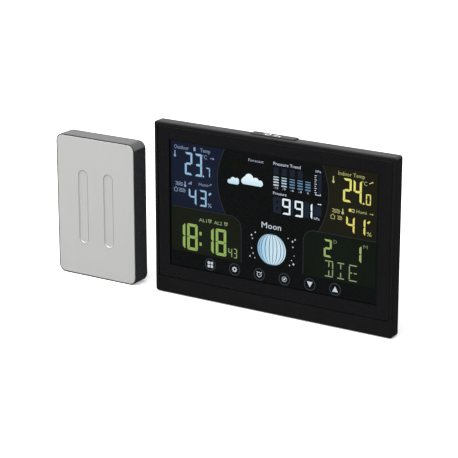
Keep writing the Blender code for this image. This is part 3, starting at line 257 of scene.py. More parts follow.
def moulded(name, shade, rough, grain=0.00035, depth=0.000012, level=0.5, spread=0.18, sheen=0.08, dust=0.03):
    """Moulded plastic: a fine spark-eroded grain, cloudy gloss, and dust lying in the grain."""
    finish = Finish(name)
    where = finish.place()
    cloud = finish.noise(where, 28.0, 4.0)
    rubbed = finish.noise(where, 140.0, 5.0, 0.65)
    pits = finish.cells(where, 1.0 / grain)
    motes = finish.stretch(finish.noise(where, 900.0, 2.0) * rubbed, 0.36, 0.52)
    base = finish.shade(cloud, darker(shade, 1.0 - spread), darker(shade, 1.0 + spread))
    base = finish.shade(motes * dust, base, (0.105, 0.105, 0.108))
    return finish.surface(
        Base_Color=base,
        Roughness=(rubbed - 0.5) * (2.0 * sheen) + (cloud - 0.5) * sheen + rough,
        Normal=finish.bump(pits, depth),
        Specular_IOR_Level=level)


def polished(name, shade, rough=0.06, level=0.3, tint=(1.0, 1.0, 1.06)):
    """Polished dark plastic with faint wiping marks and a little dust."""
    finish = Finish(name)
    where = finish.place()
    wiped = finish.noise(finish.place((1.0, 1.0, 7.0)), 60.0, 5.0, 0.6)
    cloud = finish.noise(where, 22.0, 3.0)
    dust = finish.stretch(finish.noise(where, 1500.0, 1.0), 0.70, 0.78)
    tinted = tuple(value * share for value, share in zip(shade, tint))
    base = finish.shade(cloud, darker(shade, 0.85), darker(tinted, 1.15))
    return finish.surface(
        Base_Color=finish.shade(dust * 0.05, base, (0.30, 0.30, 0.31)),
        Roughness=finish.stretch(wiped, 0.35, 0.75) * 0.07 + rough,
        Normal=finish.bump(finish.noise(where, 9.0, 1.0), 0.00002),
        Specular_IOR_Level=level)


def field(name, shade, edge_shade, middle, reach):
    """A field of the display that is lit from behind: brighter in its middle, with the cells' fine mesh."""
    finish = Finish(name)
    where = finish.place()
    spot = finish.node("VectorMath", {"operation": "DISTANCE"}, {0: where, 1: middle}, "Value")
    falls = finish.stretch(spot, 0.0, reach)
    mesh = finish.node("TexWave", {"bands_direction": "X"}, {"Vector": where, "Scale": 900.0}, "Fac")
    cloud = finish.noise(where, 45.0, 3.0)
    lit = finish.shade(falls, shade, edge_shade)
    lit = finish.shade((cloud * 0.30) + (mesh * 0.10), lit, darker(shade, 0.6))
    return finish.surface(
        Base_Color=finish.shade(cloud, darker(shade, 0.06), darker(shade, 0.12)),
        Roughness=cloud * 0.05 + 0.08,
        Emission_Color=lit,
        Emission_Strength=light().glow,
        Specular_IOR_Level=0.25)


def lit(name, shade, second=None, low=0.0, high=1.0, axis=2, uneven=0.12):
    """A lit figure: its colour runs from shade to second along one axis, with the back light's unevenness."""
    finish = Finish(name)
    where = finish.place()
    apart = finish.node("SeparateXYZ", None, {"Vector": where}, axis)
    run = finish.stretch(apart, low, high)
    cloud = finish.noise(where, 180.0, 2.0)
    mesh = finish.node("TexWave", {"bands_direction": "X"}, {"Vector": where, "Scale": 800.0}, "Fac")
    glow = finish.shade(run, shade, second or shade)
    glow = finish.shade(cloud * uneven + mesh * 0.04, glow, darker(shade, 0.55))
    return finish.surface(
        Base_Color=finish.shade(cloud, darker(shade, 0.05), darker(shade, 0.09)),
        Roughness=cloud * 0.08 + 0.12,
        Emission_Color=glow,
        Emission_Strength=light().glow,
        Specular_IOR_Level=0.20)


def brushed(name, shade, metal, rough, along=(1.0, 1.0, 0.012), depth=0.000006, scale=2600.0, spread=0.10):
    """Brushed or satin metal: long fine scratches, broad clouding and a few deeper strokes."""
    finish = Finish(name)
    strokes = finish.noise(finish.place(along), scale, 6.0, 0.7)
    coarse = finish.noise(finish.place(along), scale / 6.0, 3.0, 0.6)
    cloud = finish.noise(finish.place(), 26.0, 3.0)
    mask = strokes * 0.55 + coarse * 0.30 + cloud * 0.15
    base = finish.shade(
        finish.stretch(mask, 0.30, 0.70), darker(shade, 1.0 - spread), darker(shade, 1.0 + spread))
    return finish.surface(
        Base_Color=base,
        Metallic=metal + (cloud - 0.5) * 0.06,
        Roughness=(strokes - 0.5) * (1.6 * spread) + (cloud - 0.5) * 0.06 + rough,
        Normal=finish.bump(strokes, depth))


def foam(name, shade, grain=0.0004):
    """Closed-cell foam or a soft strip: open pores and a chalky surface."""
    finish = Finish(name)
    where = finish.place()
    pores = finish.cells(where, 1.0 / grain)
    cloud = finish.noise(where, 300.0, 4.0)
    return finish.surface(
        Base_Color=finish.shade(pores, darker(shade, 0.45), darker(shade, 1.15)),
        Roughness=0.78 + cloud * 0.18,
        Normal=finish.bump(pores, 0.00006))


def rubber(name, shade):
    """Moulded rubber: a dull black with a bloom and scuffs."""
    finish = Finish(name)
    where = finish.place()
    bloom = finish.noise(where, 220.0, 5.0)
    scuffs = finish.stretch(finish.noise(finish.place((1.0, 6.0, 1.0)), 500.0, 3.0), 0.55, 0.72)
    return finish.surface(
        Base_Color=finish.shade(bloom * 0.5 + scuffs * 0.3, darker(shade, 0.7), (0.06, 0.06, 0.06)),
        Roughness=0.72 + bloom * 0.2,
        Normal=finish.bump(bloom, 0.00002))


def board(name, mask_shade):
    """A circuit board: solder mask over the weave of the laminate, with copper runs that show through."""
    finish = Finish(name)
    where = finish.place()
    weave_x = finish.node("TexWave", {"bands_direction": "X"}, {"Vector": where, "Scale": 320.0}, "Fac")
    weave_z = finish.node("TexWave", {"bands_direction": "Z"}, {"Vector": where, "Scale": 320.0}, "Fac")
    runs = finish.node("TexVoronoi", {"distance": "MANHATTAN", "feature": "DISTANCE_TO_EDGE"}, {
        "Vector": where, "Scale": 260.0}, "Distance")
    copper = 1.0 - finish.stretch(runs, 0.04, 0.07)
    weave = weave_x * weave_z
    base = finish.shade(copper * 0.7, darker(mask_shade, 0.75), darker(mask_shade, 1.9))
    base = finish.shade(weave * 0.2, base, darker(mask_shade, 0.4))
    return finish.surface(
        Base_Color=base,
        Roughness=0.30 + weave * 0.12,
        Normal=finish.bump(copper + weave * 0.2, 0.00003))


def sleeve(name, shade, cap_shade):
    """A cell's printed sleeve: thin diagonal stripes of a second, partly metallic shade, and wrinkles where
    the film shrank.
    """
    finish = Finish(name)
    where = finish.place()
    wrinkles = finish.noise(finish.place((6.0, 1.0, 1.0)), 400.0, 4.0)
    bands = finish.node("TexWave", {"bands_direction": "DIAGONAL"}, {"Vector": where, "Scale": 28.0}, "Fac")
    base = finish.shade(finish.stretch(bands, 0.70, 0.74), shade, cap_shade)
    return finish.surface(
        Base_Color=finish.shade(wrinkles * 0.25, base, darker(shade, 0.6)),
        Roughness=0.26 + wrinkles * 0.14,
        Metallic=finish.stretch(bands, 0.70, 0.74) * 0.5,
        Normal=finish.bump(wrinkles, 0.00003))


def clear(name, shade, rough, alpha):
    """Clear moulding: dots across it scatter the light, and its edges are cloudy."""
    finish = Finish(name)
    where = finish.place()
    dots = finish.cells(where, 700.0)
    spots = 1.0 - finish.stretch(dots, 0.18, 0.30)
    cloud = finish.noise(where, 60.0, 3.0)
    return finish.surface(
        Base_Color=finish.shade(spots, shade, (0.9, 0.92, 0.95)),
        Roughness=cloud * 0.08 + rough,
        Alpha=finish.stretch(spots + cloud * 0.4, 0.0, 1.4) * (1.0 - alpha) + alpha,
        Normal=finish.bump(spots, 0.00002))


def stock():
    """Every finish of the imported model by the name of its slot."""
    paint = colours()
    every_way, lens_middle = (1.0, 1.0, 1.0), tuple((LENS_LOW + LENS_HIGH) / 2)
    return {
        "housing_black": moulded("Moulded case", paint.housing, 0.40, level=0.42),
        "lens_black": polished("Smoked lens", paint.lens),
        "display_glass": polished("Display glass", (0.020, 0.022, 0.030), 0.05, 0.5, (0.9, 1.0, 1.3)),
        "colour_film": field(
            "Colour film", (0.030, 0.045, 0.110), (0.010, 0.016, 0.040), lens_middle, 0.09),
        "clear_acrylic": clear("Light guide", (0.78, 0.83, 0.86), 0.06, 0.55),
        "white_plastic": moulded("White moulding", (0.74, 0.74, 0.71), 0.46, spread=0.06),
        "foam_grey": foam("Grey foam", (0.050, 0.050, 0.055)),
        "board_green": board("Green board", (0.014, 0.105, 0.040)),
        "part_black": moulded("Black component", (0.020, 0.020, 0.020), 0.48, grain=0.00025),
        "spring_steel": brushed("Spring steel", (0.56, 0.56, 0.58), 1.0, 0.26, every_way, 0.000004),
        "plated_contact": brushed(
            "Plated contact", (0.62, 0.60, 0.55), 1.0, 0.22, (1.0, 0.05, 1.0), 0.000004),
        "copper_wire": brushed("Enamelled wire", (0.72, 0.34, 0.16), 0.9, 0.30, every_way, 0.000004),
        "cell_sleeve": sleeve("Cell sleeve", (0.060, 0.180, 0.090), (0.62, 0.50, 0.30)),
        "rubber_black": rubber("Black rubber", (0.020, 0.020, 0.020)),
        "sensor_silver": brushed(
            "Satin face plate", paint.plate, 0.55, 0.48, depth=0.000002, scale=4200.0, spread=0.03),
        "sensor_black": moulded("Sensor housing", paint.sensor, 0.19, depth=0.000006, level=1.25),
    }


# ---------------------------------------------------------------- pieces


def fresh(name, form, material, body):
    """A bmesh made into a piece that rides on a body."""
    bmesh.ops.recalc_face_normals(form, faces=form.faces[:])
    mesh = bpy.data.meshes.new(name)
    form.to_mesh(mesh)
    form.free()
    mesh.materials.append(material)
    made = bpy.data.objects.new(name, mesh)
    bpy.context.scene.collection.objects.link(made)
    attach(made, body)
    return made


def on_front(x, z, level):
    """A point on the console's front, from its lower left corner, on a layer counted out from the lens."""
    return CASE_LOW.x + x * MM, LENS_LOW.y - level * sizes().layer, CASE_LOW.z + z * MM


def on_key(x, y, level):
    """A point on top of the snooze key, from the console's front left corner."""
    return CASE_LOW.x + x * MM, CASE_LOW.y + y * MM, KEY_HIGH.z + level * sizes().layer


def on_plate(x, z, level):
    """A point on the sensor's face plate, from its middle and the sensor's foot."""
    middle = (PLATE_LOW.x + PLATE_HIGH.x) / 2
    return middle + x * MM, PLATE_LOW.y - level * sizes().layer, SHELL_LOW.z + z * MM


def closed_ring(form, rings, wrap=True):
    """Joins rings of points, each to the next, and the last to the first where they wrap."""
    count = len(rings[0])
    pairs = zip(rings, rings[1:] + rings[:1]) if wrap else zip(rings, rings[1:])
    for one, two in pairs:
        for index in range(count):
            after = (index + 1) % count
            form.faces.new((one[index], one[after], two[after], two[index]))


def prism(form, outline, level, plane):
    """A closed flat shape whose back lies a little way into the layer behind it."""
    near, far = (
        [form.verts.new(plane(u, v, height)) for u, v in outline] for height in (level, level - SUNK)
    )
    form.faces.new(near)
    form.faces.new(far[::-1])
    closed_ring(form, [near, far], wrap=False)


def band(form, outer, inner, level, plane):
    """A closed flat ring between two outlines that have as many points as each other."""
    corners = ((outer, level), (inner, level), (inner, level - SUNK), (outer, level - SUNK))
    closed_ring(form, [
        [form.verts.new(plane(u, v, height)) for u, v in outline] for outline, height in corners
    ])


def lettering(form, words, level, plane):
    """Words of the built-in font as closed shapes. Each is (text, left, right, foot, capitals' height)."""
    for text, left, right, foot, tall in words:
        curve = bpy.data.curves.new("word", "FONT")
        curve.body, curve.size, curve.extrude, curve.resolution_u = text, 1.0, 0.5, 2
        holder = bpy.data.objects.new("word", curve)
        mesh = bpy.data.meshes.new_from_object(holder)
        across = [v.co.x for v in mesh.vertices]
        first, span = min(across), max(across) - min(across)
        for v in mesh.vertices:
            u = left + (v.co.x - first) * (right - left) / span
            v.co = plane(u, foot + v.co.y * tall / CAPITAL, level if v.co.z > 0.0 else level - SUNK)
        form.from_mesh(mesh)
        bpy.data.objects.remove(holder)
        bpy.data.curves.remove(curve)
        bpy.data.meshes.remove(mesh)
    bmesh.ops.remove_doubles(form, verts=form.verts[:], dist=1e-7)


def inlay(name, material, level, words=(), outlines=(), rings=(),
          plane=on_front, body="console"):
    """Words, flat shapes and rings of one colour as one piece."""
    form = bmesh.new()
    lettering(form, words, level, plane)
    for outline in outlines:
        prism(form, outline, level, plane)
    for outer, inner in rings:
        band(form, outer, inner, level, plane)
    return fresh(name, form, material, body)


def glow(name, shade, layer=FIGURES, words=(), outlines=(), rings=(), **look):
    """A lit inlay of the display with a finish of its own."""
    finish = lit(name.replace("_", " ").capitalize(), shade, **look)
    return inlay(name, finish, layer, words, outlines, rings)


# ---------------------------------------------------------------- outlines


def arc(x, z, radius, start, end, steps=12, tall=None):
    """Points on an arc, angles in degrees from the right, anticlockwise."""
    tall = radius if tall is None else tall
    turns = [radians(start + (end - start) * step / steps) for step in range(steps + 1)]
    return [(x + radius * cos(turn), z + tall * sin(turn)) for turn in turns]


def disc(x, z, radius, steps=24):
    return arc(x, z, radius, 0, 360, steps)[:-1]


def oblong(x0, x1, z0, z1, corner=0.0, steps=4):
    if not corner:
        return [(x0, z0), (x1, z0), (x1, z1), (x0, z1)]
    left, right, low, high = x0 + corner, x1 - corner, z0 + corner, z1 - corner
    middles = ((right, low, -90), (right, high, 0), (left, high, 90), (left, low, 180))
    return [point for x, z, start in middles for point in arc(x, z, corner, start, start + 90, steps)]


def stroke(points, wide):
    """The outline of a line of the given width with square ends."""
    left, right = [], []
    for index, (x, z) in enumerate(points):
        before = points[max(index - 1, 0)]
        after = points[min(index + 1, len(points) - 1)]
        dx, dz = after[0] - before[0], after[1] - before[1]
        span = sqrt(dx * dx + dz * dz)
        px, pz = -dz / span * wide / 2, dx / span * wide / 2
        left.append((x + px, z + pz))
        right.append((x - px, z - pz))
    return left + right[::-1]


# ---------------------------------------------------------------- figures

SEGMENTS = {
    "0": "abcdef", "1": "bc", "2": "abged", "3": "abgcd", "4": "fgbc", "5": "afgcd", "6": "afgedc",
    "7": "abc", "8": "abcdefg", "9": "abcdfg",
}


def figure(digit, x0, x1, z0, z1, thick, gap):
    """The lit segments of a seven-segment figure. Each has mitred ends and cut-off outer corners."""
    middle, half, cut = (z0 + z1) / 2, thick / 2, thick * 0.38
    left, right = x0 + gap, x1 - gap
    upper = [
        (x1, z1 - gap - cut), (x1 - cut * 0.35, z1 - gap - cut * 0.2), (x1 - thick, z1 - gap - thick),
        (x1 - thick, middle + gap + half * 0.9), (x1 - half, middle + gap * 0.7), (x1, middle + gap * 0.9),
    ]
    top = [
        (left + cut, z1), (right - cut, z1), (right - cut * 0.3, z1 - cut * 0.3),
        (right - thick, z1 - thick), (left + thick, z1 - thick), (left + cut * 0.3, z1 - cut * 0.3),
    ]
    across = [
        (left + half, middle), (left + thick, middle + half), (right - thick, middle + half),
        (right - half, middle), (right - thick, middle - half), (left + thick, middle - half),
    ]

    def over(points):
        return [(x, z0 + z1 - z) for x, z in points]

    def beside(points):
        return [(x0 + x1 - x, z) for x, z in points]

    parts = {
        "a": top, "b": upper, "c": over(upper), "d": over(top), "e": beside(over(upper)), "f": beside(upper),
        "g": across,
    }
    return [parts[letter] for letter in SEGMENTS[digit]]


def row(places, foot, top, thick, gap=0.15):
    """The figures of one reading. Each place is (digit, left, right)."""
    figures = [figure(digit, left, right, foot, top, thick, gap) for digit, left, right in places]
    return sum(figures, [])


def letter_figure(segments, x0, x1, z0, z1, thick):
    """The lit segments of a letter figure: its frame, its middle bars and its middle uprights."""
    middle, centre, half, gap = (z0 + z1) / 2, (x0 + x1) / 2, thick / 2, 0.30
    bars = {
        "top": oblong(x0 + gap, x1 - gap, z1 - thick, z1),
        "bottom": oblong(x0 + gap, x1 - gap, z0, z0 + thick),
        "left_high": oblong(x0, x0 + thick, middle + gap, z1 - thick - gap),
        "left_low": oblong(x0, x0 + thick, z0 + thick + gap, middle - gap),
        "right_high": oblong(x1 - thick, x1, middle + gap, z1 - thick - gap),
        "right_low": oblong(x1 - thick, x1, z0 + thick + gap, middle - gap),
        "bar_left": oblong(x0 + gap, centre - half - gap, middle - half, middle + half),
        "bar_right": oblong(centre + half + gap, x1 - gap, middle - half, middle + half),
        "high": oblong(centre - half, centre + half, middle + 4 * gap, z1 - thick - gap),
        "low": oblong(centre - half, centre + half, z0 + thick + gap, middle - 4 * gap),
    }
    return [bars[name] for name in segments.split()]


# ---------------------------------------------------------------- small signs


def thermometer(x, z0, z1):
    stem, bulb = 0.35, 0.9
    return [oblong(x - stem, x + stem, z0 + 1.2, z1, 0.34, 3), disc(x, z0 + bulb, bulb, 12)]


def arrow(x0, x1, z, rise=0.0, head=0.9, thick=0.42):
    """A small arrow from left to right that climbs by rise."""
    span = sqrt((x1 - x0) ** 2 + rise ** 2)
    ux, uz = (x1 - x0) / span, rise / span
    neck_x, neck_z = x1 - ux * head * 1.1, z + rise - uz * head * 1.1
    across, up = uz * head, ux * head
    point = [(x1, z + rise), (neck_x - across, neck_z + up), (neck_x + across, neck_z - up)]
    return [stroke([(x0, z), (neck_x, neck_z)], thick), point]


def bell(x, z, radius=1.15):
    """An alarm clock: a round dial with two hands and two bells. Returns its outlines and its ring."""
    outer, inner = disc(x, z, radius, 16), disc(x, z, radius - 0.38, 16)
    bells = [disc(x + side * radius * 0.85, z + radius * 0.95, 0.42, 8) for side in (-1, 1)]
    low, thick = z - 0.1, 0.28
    hands = [stroke([(x, low), (x, z + 0.6)], thick), stroke([(x + 0.15, low), (x + 0.6, low)], thick)]
    return bells + hands, [(outer, inner)]


def house(x0, x1, z0, z1):
    eaves, thick, over = z0 + (z1 - z0) * 0.55, 0.38, 0.2
    left, right = x0 + over, x1 - over
    roof = stroke([(x0 - over, eaves), ((x0 + x1) / 2, z1), (x1 + over, eaves)], thick)
    return [roof, stroke([(left, eaves), (left, z0), (right, z0), (right, eaves)], thick)]


def air_lines(x0, x1, z):
    """Three short wavy lines for moving air."""
    steps, pitch, wave, thick = 9, 0.95, 0.22, 0.34
    lines = []
    for index in range(3):
        left = x0 + 0.5 * (index % 2)
        lines.append(stroke([
            (left + (x1 - x0 - 0.6) * step / steps, z + index * pitch + wave * sin(step * 1.4))
            for step in range(steps + 1)
        ], thick))
    return lines


def signal_bars(x, z):
    pitch, wide, short, rise = 0.75, 0.45, 0.6, 0.5
    return [
        oblong(x + index * pitch, x + index * pitch + wide, z, z + short + index * rise) for index in range(4)
    ]


def cloud(*puffs):
    """A cloud with a flat foot under its first and last puffs. Each puff is (x, z, radius)."""
    first, last = puffs[0], puffs[-1]
    x0, x1, steps = first[0] - first[2], last[0] + last[2], 48
    top = []
    for step in range(1, steps):
        x = x1 + (x0 - x1) * step / steps
        reached = [(z, radius * radius - (x - middle) ** 2) for middle, z, radius in puffs]
        top.append((x, max(z + sqrt(rise) for z, rise in reached if rise > 0.0)))
    return arc(*first, 180, 270, 8) + arc(*last, 270, 360, 8) + top


def wheel(x, z, outer, inner, teeth=8):
    """A gear's outline, and the hole in it with as many points."""
    rim, hole = [], []
    for index in range(teeth * 4):
        turn = 2 * pi * (index + 0.5) / (teeth * 4)
        radius = outer if index % 4 < 2 else outer * 0.78
        rim.append((x + radius * cos(turn), z + radius * sin(turn)))
        hole.append((x + inner * cos(turn), z + inner * sin(turn)))
    return rim, hole


def left_curve(top, bottom, middle, waist, bow, steps=16):
    """Points down a field's curved side: at height middle it is at waist, and it bows away from there."""
    heights = [top + (bottom - top) * step / steps for step in range(steps + 1)]
    return [(waist + bow * (z - middle) ** 2, z) for z in heights]


# ---------------------------------------------------------------- the display's plan, in millimetres

WINDOW_LEFT, WINDOW_RIGHT, WINDOW_FOOT, WINDOW_TOP = 11.5, 168.2, 20.4, 107.6
FIELD_LEFT, FIELD_RIGHT, FIELD_TOP, FIELD_FOOT = 13.4, 167.2, 107.0, 31.6
SPLIT = 62.4            # height of the line between the upper and the lower fields
GUTTER = 0.45
OUTDOOR_SIDE = (85.5, 49.4, 0.0123)   # height, place and bow of the outdoor field's curved side
INDOOR_SIDE = (87.0, 132.7, -0.0121)
CLOCK_RIGHT, DATE_LEFT, FIELD_CORNER = 67.8, 114.6, 8.0
KEY_MIDDLES = (43.8, 62.8, 81.8, 100.8, 119.8, 138.5)
KEY_HEIGHT = 25.8
TEMPERATURE = (85.4, 100.8, 1.45)     # foot, top and stroke of a line of figures
OUTDOOR_HUMIDITY = (65.2, 76.4, 1.20)
INDOOR_HUMIDITY = (65.2, 76.3, 1.25)
PRESSURE = (69.9, 80.5, 1.20, 0.12)   # the last is the gap between segments
WEEKDAY = (33.4, 44.4, 0.72)
TITLE, UNIT = (102.3, 2.7), (98.0, 2.8)     # foot and height of the capitals
HUMIDITY_TITLE, PERCENT = (79.3, 2.2), (65.4, 2.8)
TREND_LEFTS = (92.1, 98.1, 104.1, 109.9, 115.7)
TREND_WIDE, TREND_TALL = 3.8, 0.95
TREND_ROWS = (88.1, 90.0, 91.8, 93.6)
MOON_MIDDLE = (91.1, 44.4)
STARS = (   # x, z and radius
    (78.7, 54.2, 0.7), (75.8, 52.0, 0.8), (76.5, 49.7, 0.6), (75.9, 43.0, 0.6), (77.0, 39.6, 0.6),
    (74.7, 37.3, 0.7), (78.4, 36.7, 0.5), (103.4, 54.1, 0.5), (108.6, 54.0, 0.7), (106.7, 52.5, 0.8),
    (107.0, 48.7, 0.6), (108.0, 43.0, 0.4), (106.1, 39.6, 0.5), (107.5, 37.2, 0.9), (104.6, 36.0, 0.6),
)
MERIDIANS = (-1.0, -0.90, -0.74, -0.47, -0.17, 0.10, 0.38, 0.66, 0.88, 1.0)


class Build:
    """What every operator of the set shares."""

    bl_options = {"REGISTER"}

    def execute(self, context):
        self.make()
        return {"FINISHED"}


class STATION_OT_stage(Build, Operator):
    """Makes the pale floor, the soft studio light and the camera"""

    bl_idname = "station.stage"
    bl_label = "Stage"

    def make(self):
        scene = bpy.context.scene
        scene.view_settings.view_transform = "Standard"
        self.floor()
        self.sky(scene)
        self.lamp("key_light", light().key, 1.6, (-0.5, -0.9, 1.9))
        self.lamp("fill_light", light().fill, 1.2, (-1.9, -1.0, 0.9))
        self.camera(scene)

    def floor(self):
        form = bmesh.new()
        low, high = [], []
        for u, v in disc(0.0, 0.0, FLOOR_RADIUS, 64):
            high.append(form.verts.new((u, v, CAD_BOX[0].z)))
            low.append(form.verts.new((u, v, CAD_BOX[0].z - FLOOR_THICK)))
        form.faces.new(high)
        form.faces.new(low[::-1])
        closed_ring(form, [high, low], wrap=False)
        bmesh.ops.recalc_face_normals(form, faces=form.faces[:])
        mesh = bpy.data.meshes.new("floor")
        form.to_mesh(mesh)
        form.free()
        finish = Finish("Pale floor")
        cloud = finish.noise(finish.place(), 3.0, 3.0)
        mesh.materials.append(finish.surface(
            Base_Color=finish.shade(cloud, (0.90, 0.90, 0.90), (0.93, 0.93, 0.93)),
            Roughness=cloud * 0.1 + 0.8, Specular_IOR_Level=0.1,
            Emission_Color=(1.0, 1.0, 1.0), Emission_Strength=light().floor))
        floor = bpy.data.objects.new("floor", mesh)
        floor.visible_glossy = False
        bpy.context.scene.collection.objects.link(floor)

    def sky(self, scene):
        scene.world = bpy.data.worlds.new("Studio")
        scene.world.use_nodes = True
        nodes, links = scene.world.node_tree.nodes, scene.world.node_tree.links
        where = nodes.new("ShaderNodeTexCoord")
        apart = nodes.new("ShaderNodeSeparateXYZ")
        rise = nodes.new("ShaderNodeMapRange")
        rise.inputs["From Min"].default_value, rise.inputs["From Max"].default_value = -0.10, 0.14
        rise.inputs["To Min"].default_value, rise.inputs["To Max"].default_value = light().ground, light().sky
        links.new(where.outputs["Generated"], apart.inputs[0])
        links.new(apart.outputs["Z"], rise.inputs["Value"])
        links.new(rise.outputs[0], nodes["Background"].inputs["Strength"])
        nodes["Background"].inputs["Color"].default_value = (1.0, 1.0, 1.0, 1.0)

    def lamp(self, name, power, side, place):
        lamp = bpy.data.lights.new(name, "AREA")
        lamp.energy, lamp.size = power, side
        made = bpy.data.objects.new(name, lamp)
        made.location = place
        made.rotation_euler = (Vector((0.0, 0.0, 0.05)) - made.location).to_track_quat("-Z", "Y").to_euler()
        bpy.context.scene.collection.objects.link(made)

    def camera(self, scene):
        data = bpy.data.cameras.new("camera")
        data.lens, data.sensor_width, data.clip_end = CAMERA_LENS, 36.0, 50.0
        camera = bpy.data.objects.new("camera", data)
        turn, tilt = radians(CAMERA_TURN), radians(CAMERA_TILT)
        camera.location = CAMERA_PLACE
        camera.rotation_mode = "QUATERNION"
        ahead = Vector((-sin(turn) * cos(tilt), cos(turn) * cos(tilt), -sin(tilt)))
        camera.rotation_quaternion = ahead.to_track_quat("-Z", "Y")
        scene.collection.objects.link(camera)
        scene.camera = camera


class STATION_OT_finishes(Build, Operator):
    """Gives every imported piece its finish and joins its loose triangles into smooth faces"""

    bl_idname = "station.finishes"
    bl_label = "Finishes"

    def make(self):
        finishes = stock()
        for part in frame["record"]["subparts"]:
            made = frame["nodes"][part["node"]]
            made.data.materials.clear()
            made.data.materials.append(finishes[part["material_slot"]])
            self.soften(made)

    def soften(self, made):
        """Marks the edges that stay sharp, so that the joined faces shade as the moulding does."""
        mesh = made.data
        if "custom_normal" in mesh.attributes:
            mesh.attributes.remove(mesh.attributes["custom_normal"])
        corner = [tuple(round(value, 6) for value in v.co) for v in mesh.vertices]
        beside = {}
        for face in mesh.polygons:
            face.use_smooth = True
            for one, two in face.edge_keys:
                beside.setdefault(frozenset((corner[one], corner[two])), []).append(face.normal.copy())
        widest = radians(SMOOTH_ANGLE)
        for edge in mesh.edges:
            normals = beside.get(frozenset(corner[index] for index in edge.vertices), [])
            edge.use_edge_sharp = len(normals) != 2 or normals[0].angle(normals[1], pi) > widest
        weld = made.modifiers.new("join", "WELD")
        weld.merge_threshold = 0.000002
        even = made.modifiers.new("even", "WEIGHTED_NORMAL")
        even.keep_sharp = True


class STATION_OT_display(Build, Operator):
    """Makes the display's window, its four lit fields and the lines round them"""

    bl_idname = "station.display"
    bl_label = "Display window and fields"

    def make(self):
        self.window(colours().window)
        left = left_curve(FIELD_TOP, SPLIT + GUTTER, *OUTDOOR_SIDE)
        right = left_curve(FIELD_TOP, SPLIT + GUTTER, *INDOOR_SIDE)
        self.fields(colours(), left, right)
        wide = sizes().line / MM
        glow("field_lines", (0.028, 0.031, 0.032), LINES, second=(0.036, 0.040, 0.046), outlines=[
            stroke(left + [(left[-1][0] + 0.6, SPLIT)], wide),
            stroke(right + [(right[-1][0] - 0.6, SPLIT)], wide),
            stroke(self.lower_edge(FIELD_LEFT, CLOCK_RIGHT, -1, 88), wide),
            stroke(self.lower_edge(FIELD_RIGHT, DATE_LEFT, 1, 92), wide),
        ])

    def window(self, shade):
        left, right, foot, top = WINDOW_LEFT, WINDOW_RIGHT, WINDOW_FOOT, WINDOW_TOP
        side, sill = left + 1.4, foot + 0.7
        inlay("display_window", polished("Display window", shade, 0.05, 0.25), WINDOW, outlines=[
            oblong(left, right, foot, top, 0.4)])
        # A dark band along the window's left side and its foot: painted shadow where the recessed window's
        # inner edge falls dark.
        inlay("window_shadow", polished("Window painted shadow", darker(shade, 0.25), 0.05, 0.15), FIELDS, outlines=[
            oblong(left, side, foot, top), oblong(side, right, foot, sill)])

    def corner(self, inner, towards, start, height):
        """The round upper corner of a lower field whose inner side is at x = inner."""
        middle = inner + towards * FIELD_CORNER
        return arc(middle, height - FIELD_CORNER, FIELD_CORNER, start, 90 + 90 * towards)

    def lower_edge(self, outer, inner, towards, start):
        """The line over a lower field and down its inner side."""
        over = [(outer, SPLIT), (inner + towards * FIELD_CORNER, SPLIT)]
        return over + self.corner(inner, towards, start, SPLIT) + [(inner, FIELD_FOOT)]

    def fields(self, paint, left, right):
        low, high = SPLIT - GUTTER, SPLIT + GUTTER
        fields = {
            "outdoor": (paint.outdoor_field, [(FIELD_LEFT, high), (FIELD_LEFT, FIELD_TOP), *left]),
            "indoor": (paint.indoor_field, [(FIELD_RIGHT, high), (FIELD_RIGHT, FIELD_TOP), *right]),
            "clock": (paint.clock_field, [
                (CLOCK_RIGHT, FIELD_FOOT), (FIELD_LEFT, FIELD_FOOT), (FIELD_LEFT, low),
                *self.corner(CLOCK_RIGHT, -1, 90, low)]),
            "date": (paint.date_field, [
                (DATE_LEFT, FIELD_FOOT), (FIELD_RIGHT, FIELD_FOOT), (FIELD_RIGHT, low),
                *self.corner(DATE_LEFT, 1, 90, low)]),
        }
        for name, (shade, outline) in fields.items():
            wide, tall = zip(*outline)
            middle = on_front((min(wide) + max(wide)) / 2, (min(tall) + max(tall)) / 2, FIELDS)
            reach = 0.6 * MM * (max(wide) - min(wide))
            finish = field(f"{name.capitalize()} field", shade, darker(shade, 0.72), middle, reach)
            inlay(f"{name}_field", finish, FIELDS, outlines=[outline])


class STATION_OT_outdoor(Build, Operator):
    """Makes the outdoor temperature, humidity and their small signs"""

    bl_idname = "station.outdoor"
    bl_label = "Outdoor readings"

    def make(self):
        paint = colours()
        glow("outdoor_figures", paint.outdoor, second=darker(paint.outdoor, 0.85), outlines=[
            *row((("2", 24.1, 30.0), ("3", 31.9, 37.6)), *TEMPERATURE), oblong(38.0, 39.1, 85.5, 86.5, 0.2),
            *row((("7", 40.4, 43.7),), 85.8, 92.4, 0.70),
            *row((("4", 27.1, 33.0), ("3", 35.4, 41.0)), *OUTDOOR_HUMIDITY),
            stroke([(42.8, 73.9), (44.4, 75.3)], 1.2),
        ])
        glow("outdoor_labels", paint.outdoor_faint, words=[
            ("Outdoor", 15.8, 27.2, *TITLE), ("Temp", 36.2, 43.9, *TITLE), ("\u00b0C", 37.7, 41.4, *UNIT),
            ("Humi", 35.0, 42.0, *HUMIDITY_TITLE)])
        glow("outdoor_signs", paint.outdoor_sign, words=[("%", 41.9, 44.9, *PERCENT)], outlines=[
            oblong(31.0, 32.5, 102.3, 104.9, 0.3), *thermometer(16.3, 96.4, 101.0), *arrow(44.0, 47.0, 99.0),
            *air_lines(16.6, 22.8, 77.4), *thermometer(24.2, 76.6, 80.6), *house(15.5, 18.2, 72.8, 75.8),
            *air_lines(19.2, 24.8, 73.2), *signal_bars(26.6, 79.0), *arrow(42.6, 45.0, 80.0, 1.6, 0.6, 0.36),
        ])


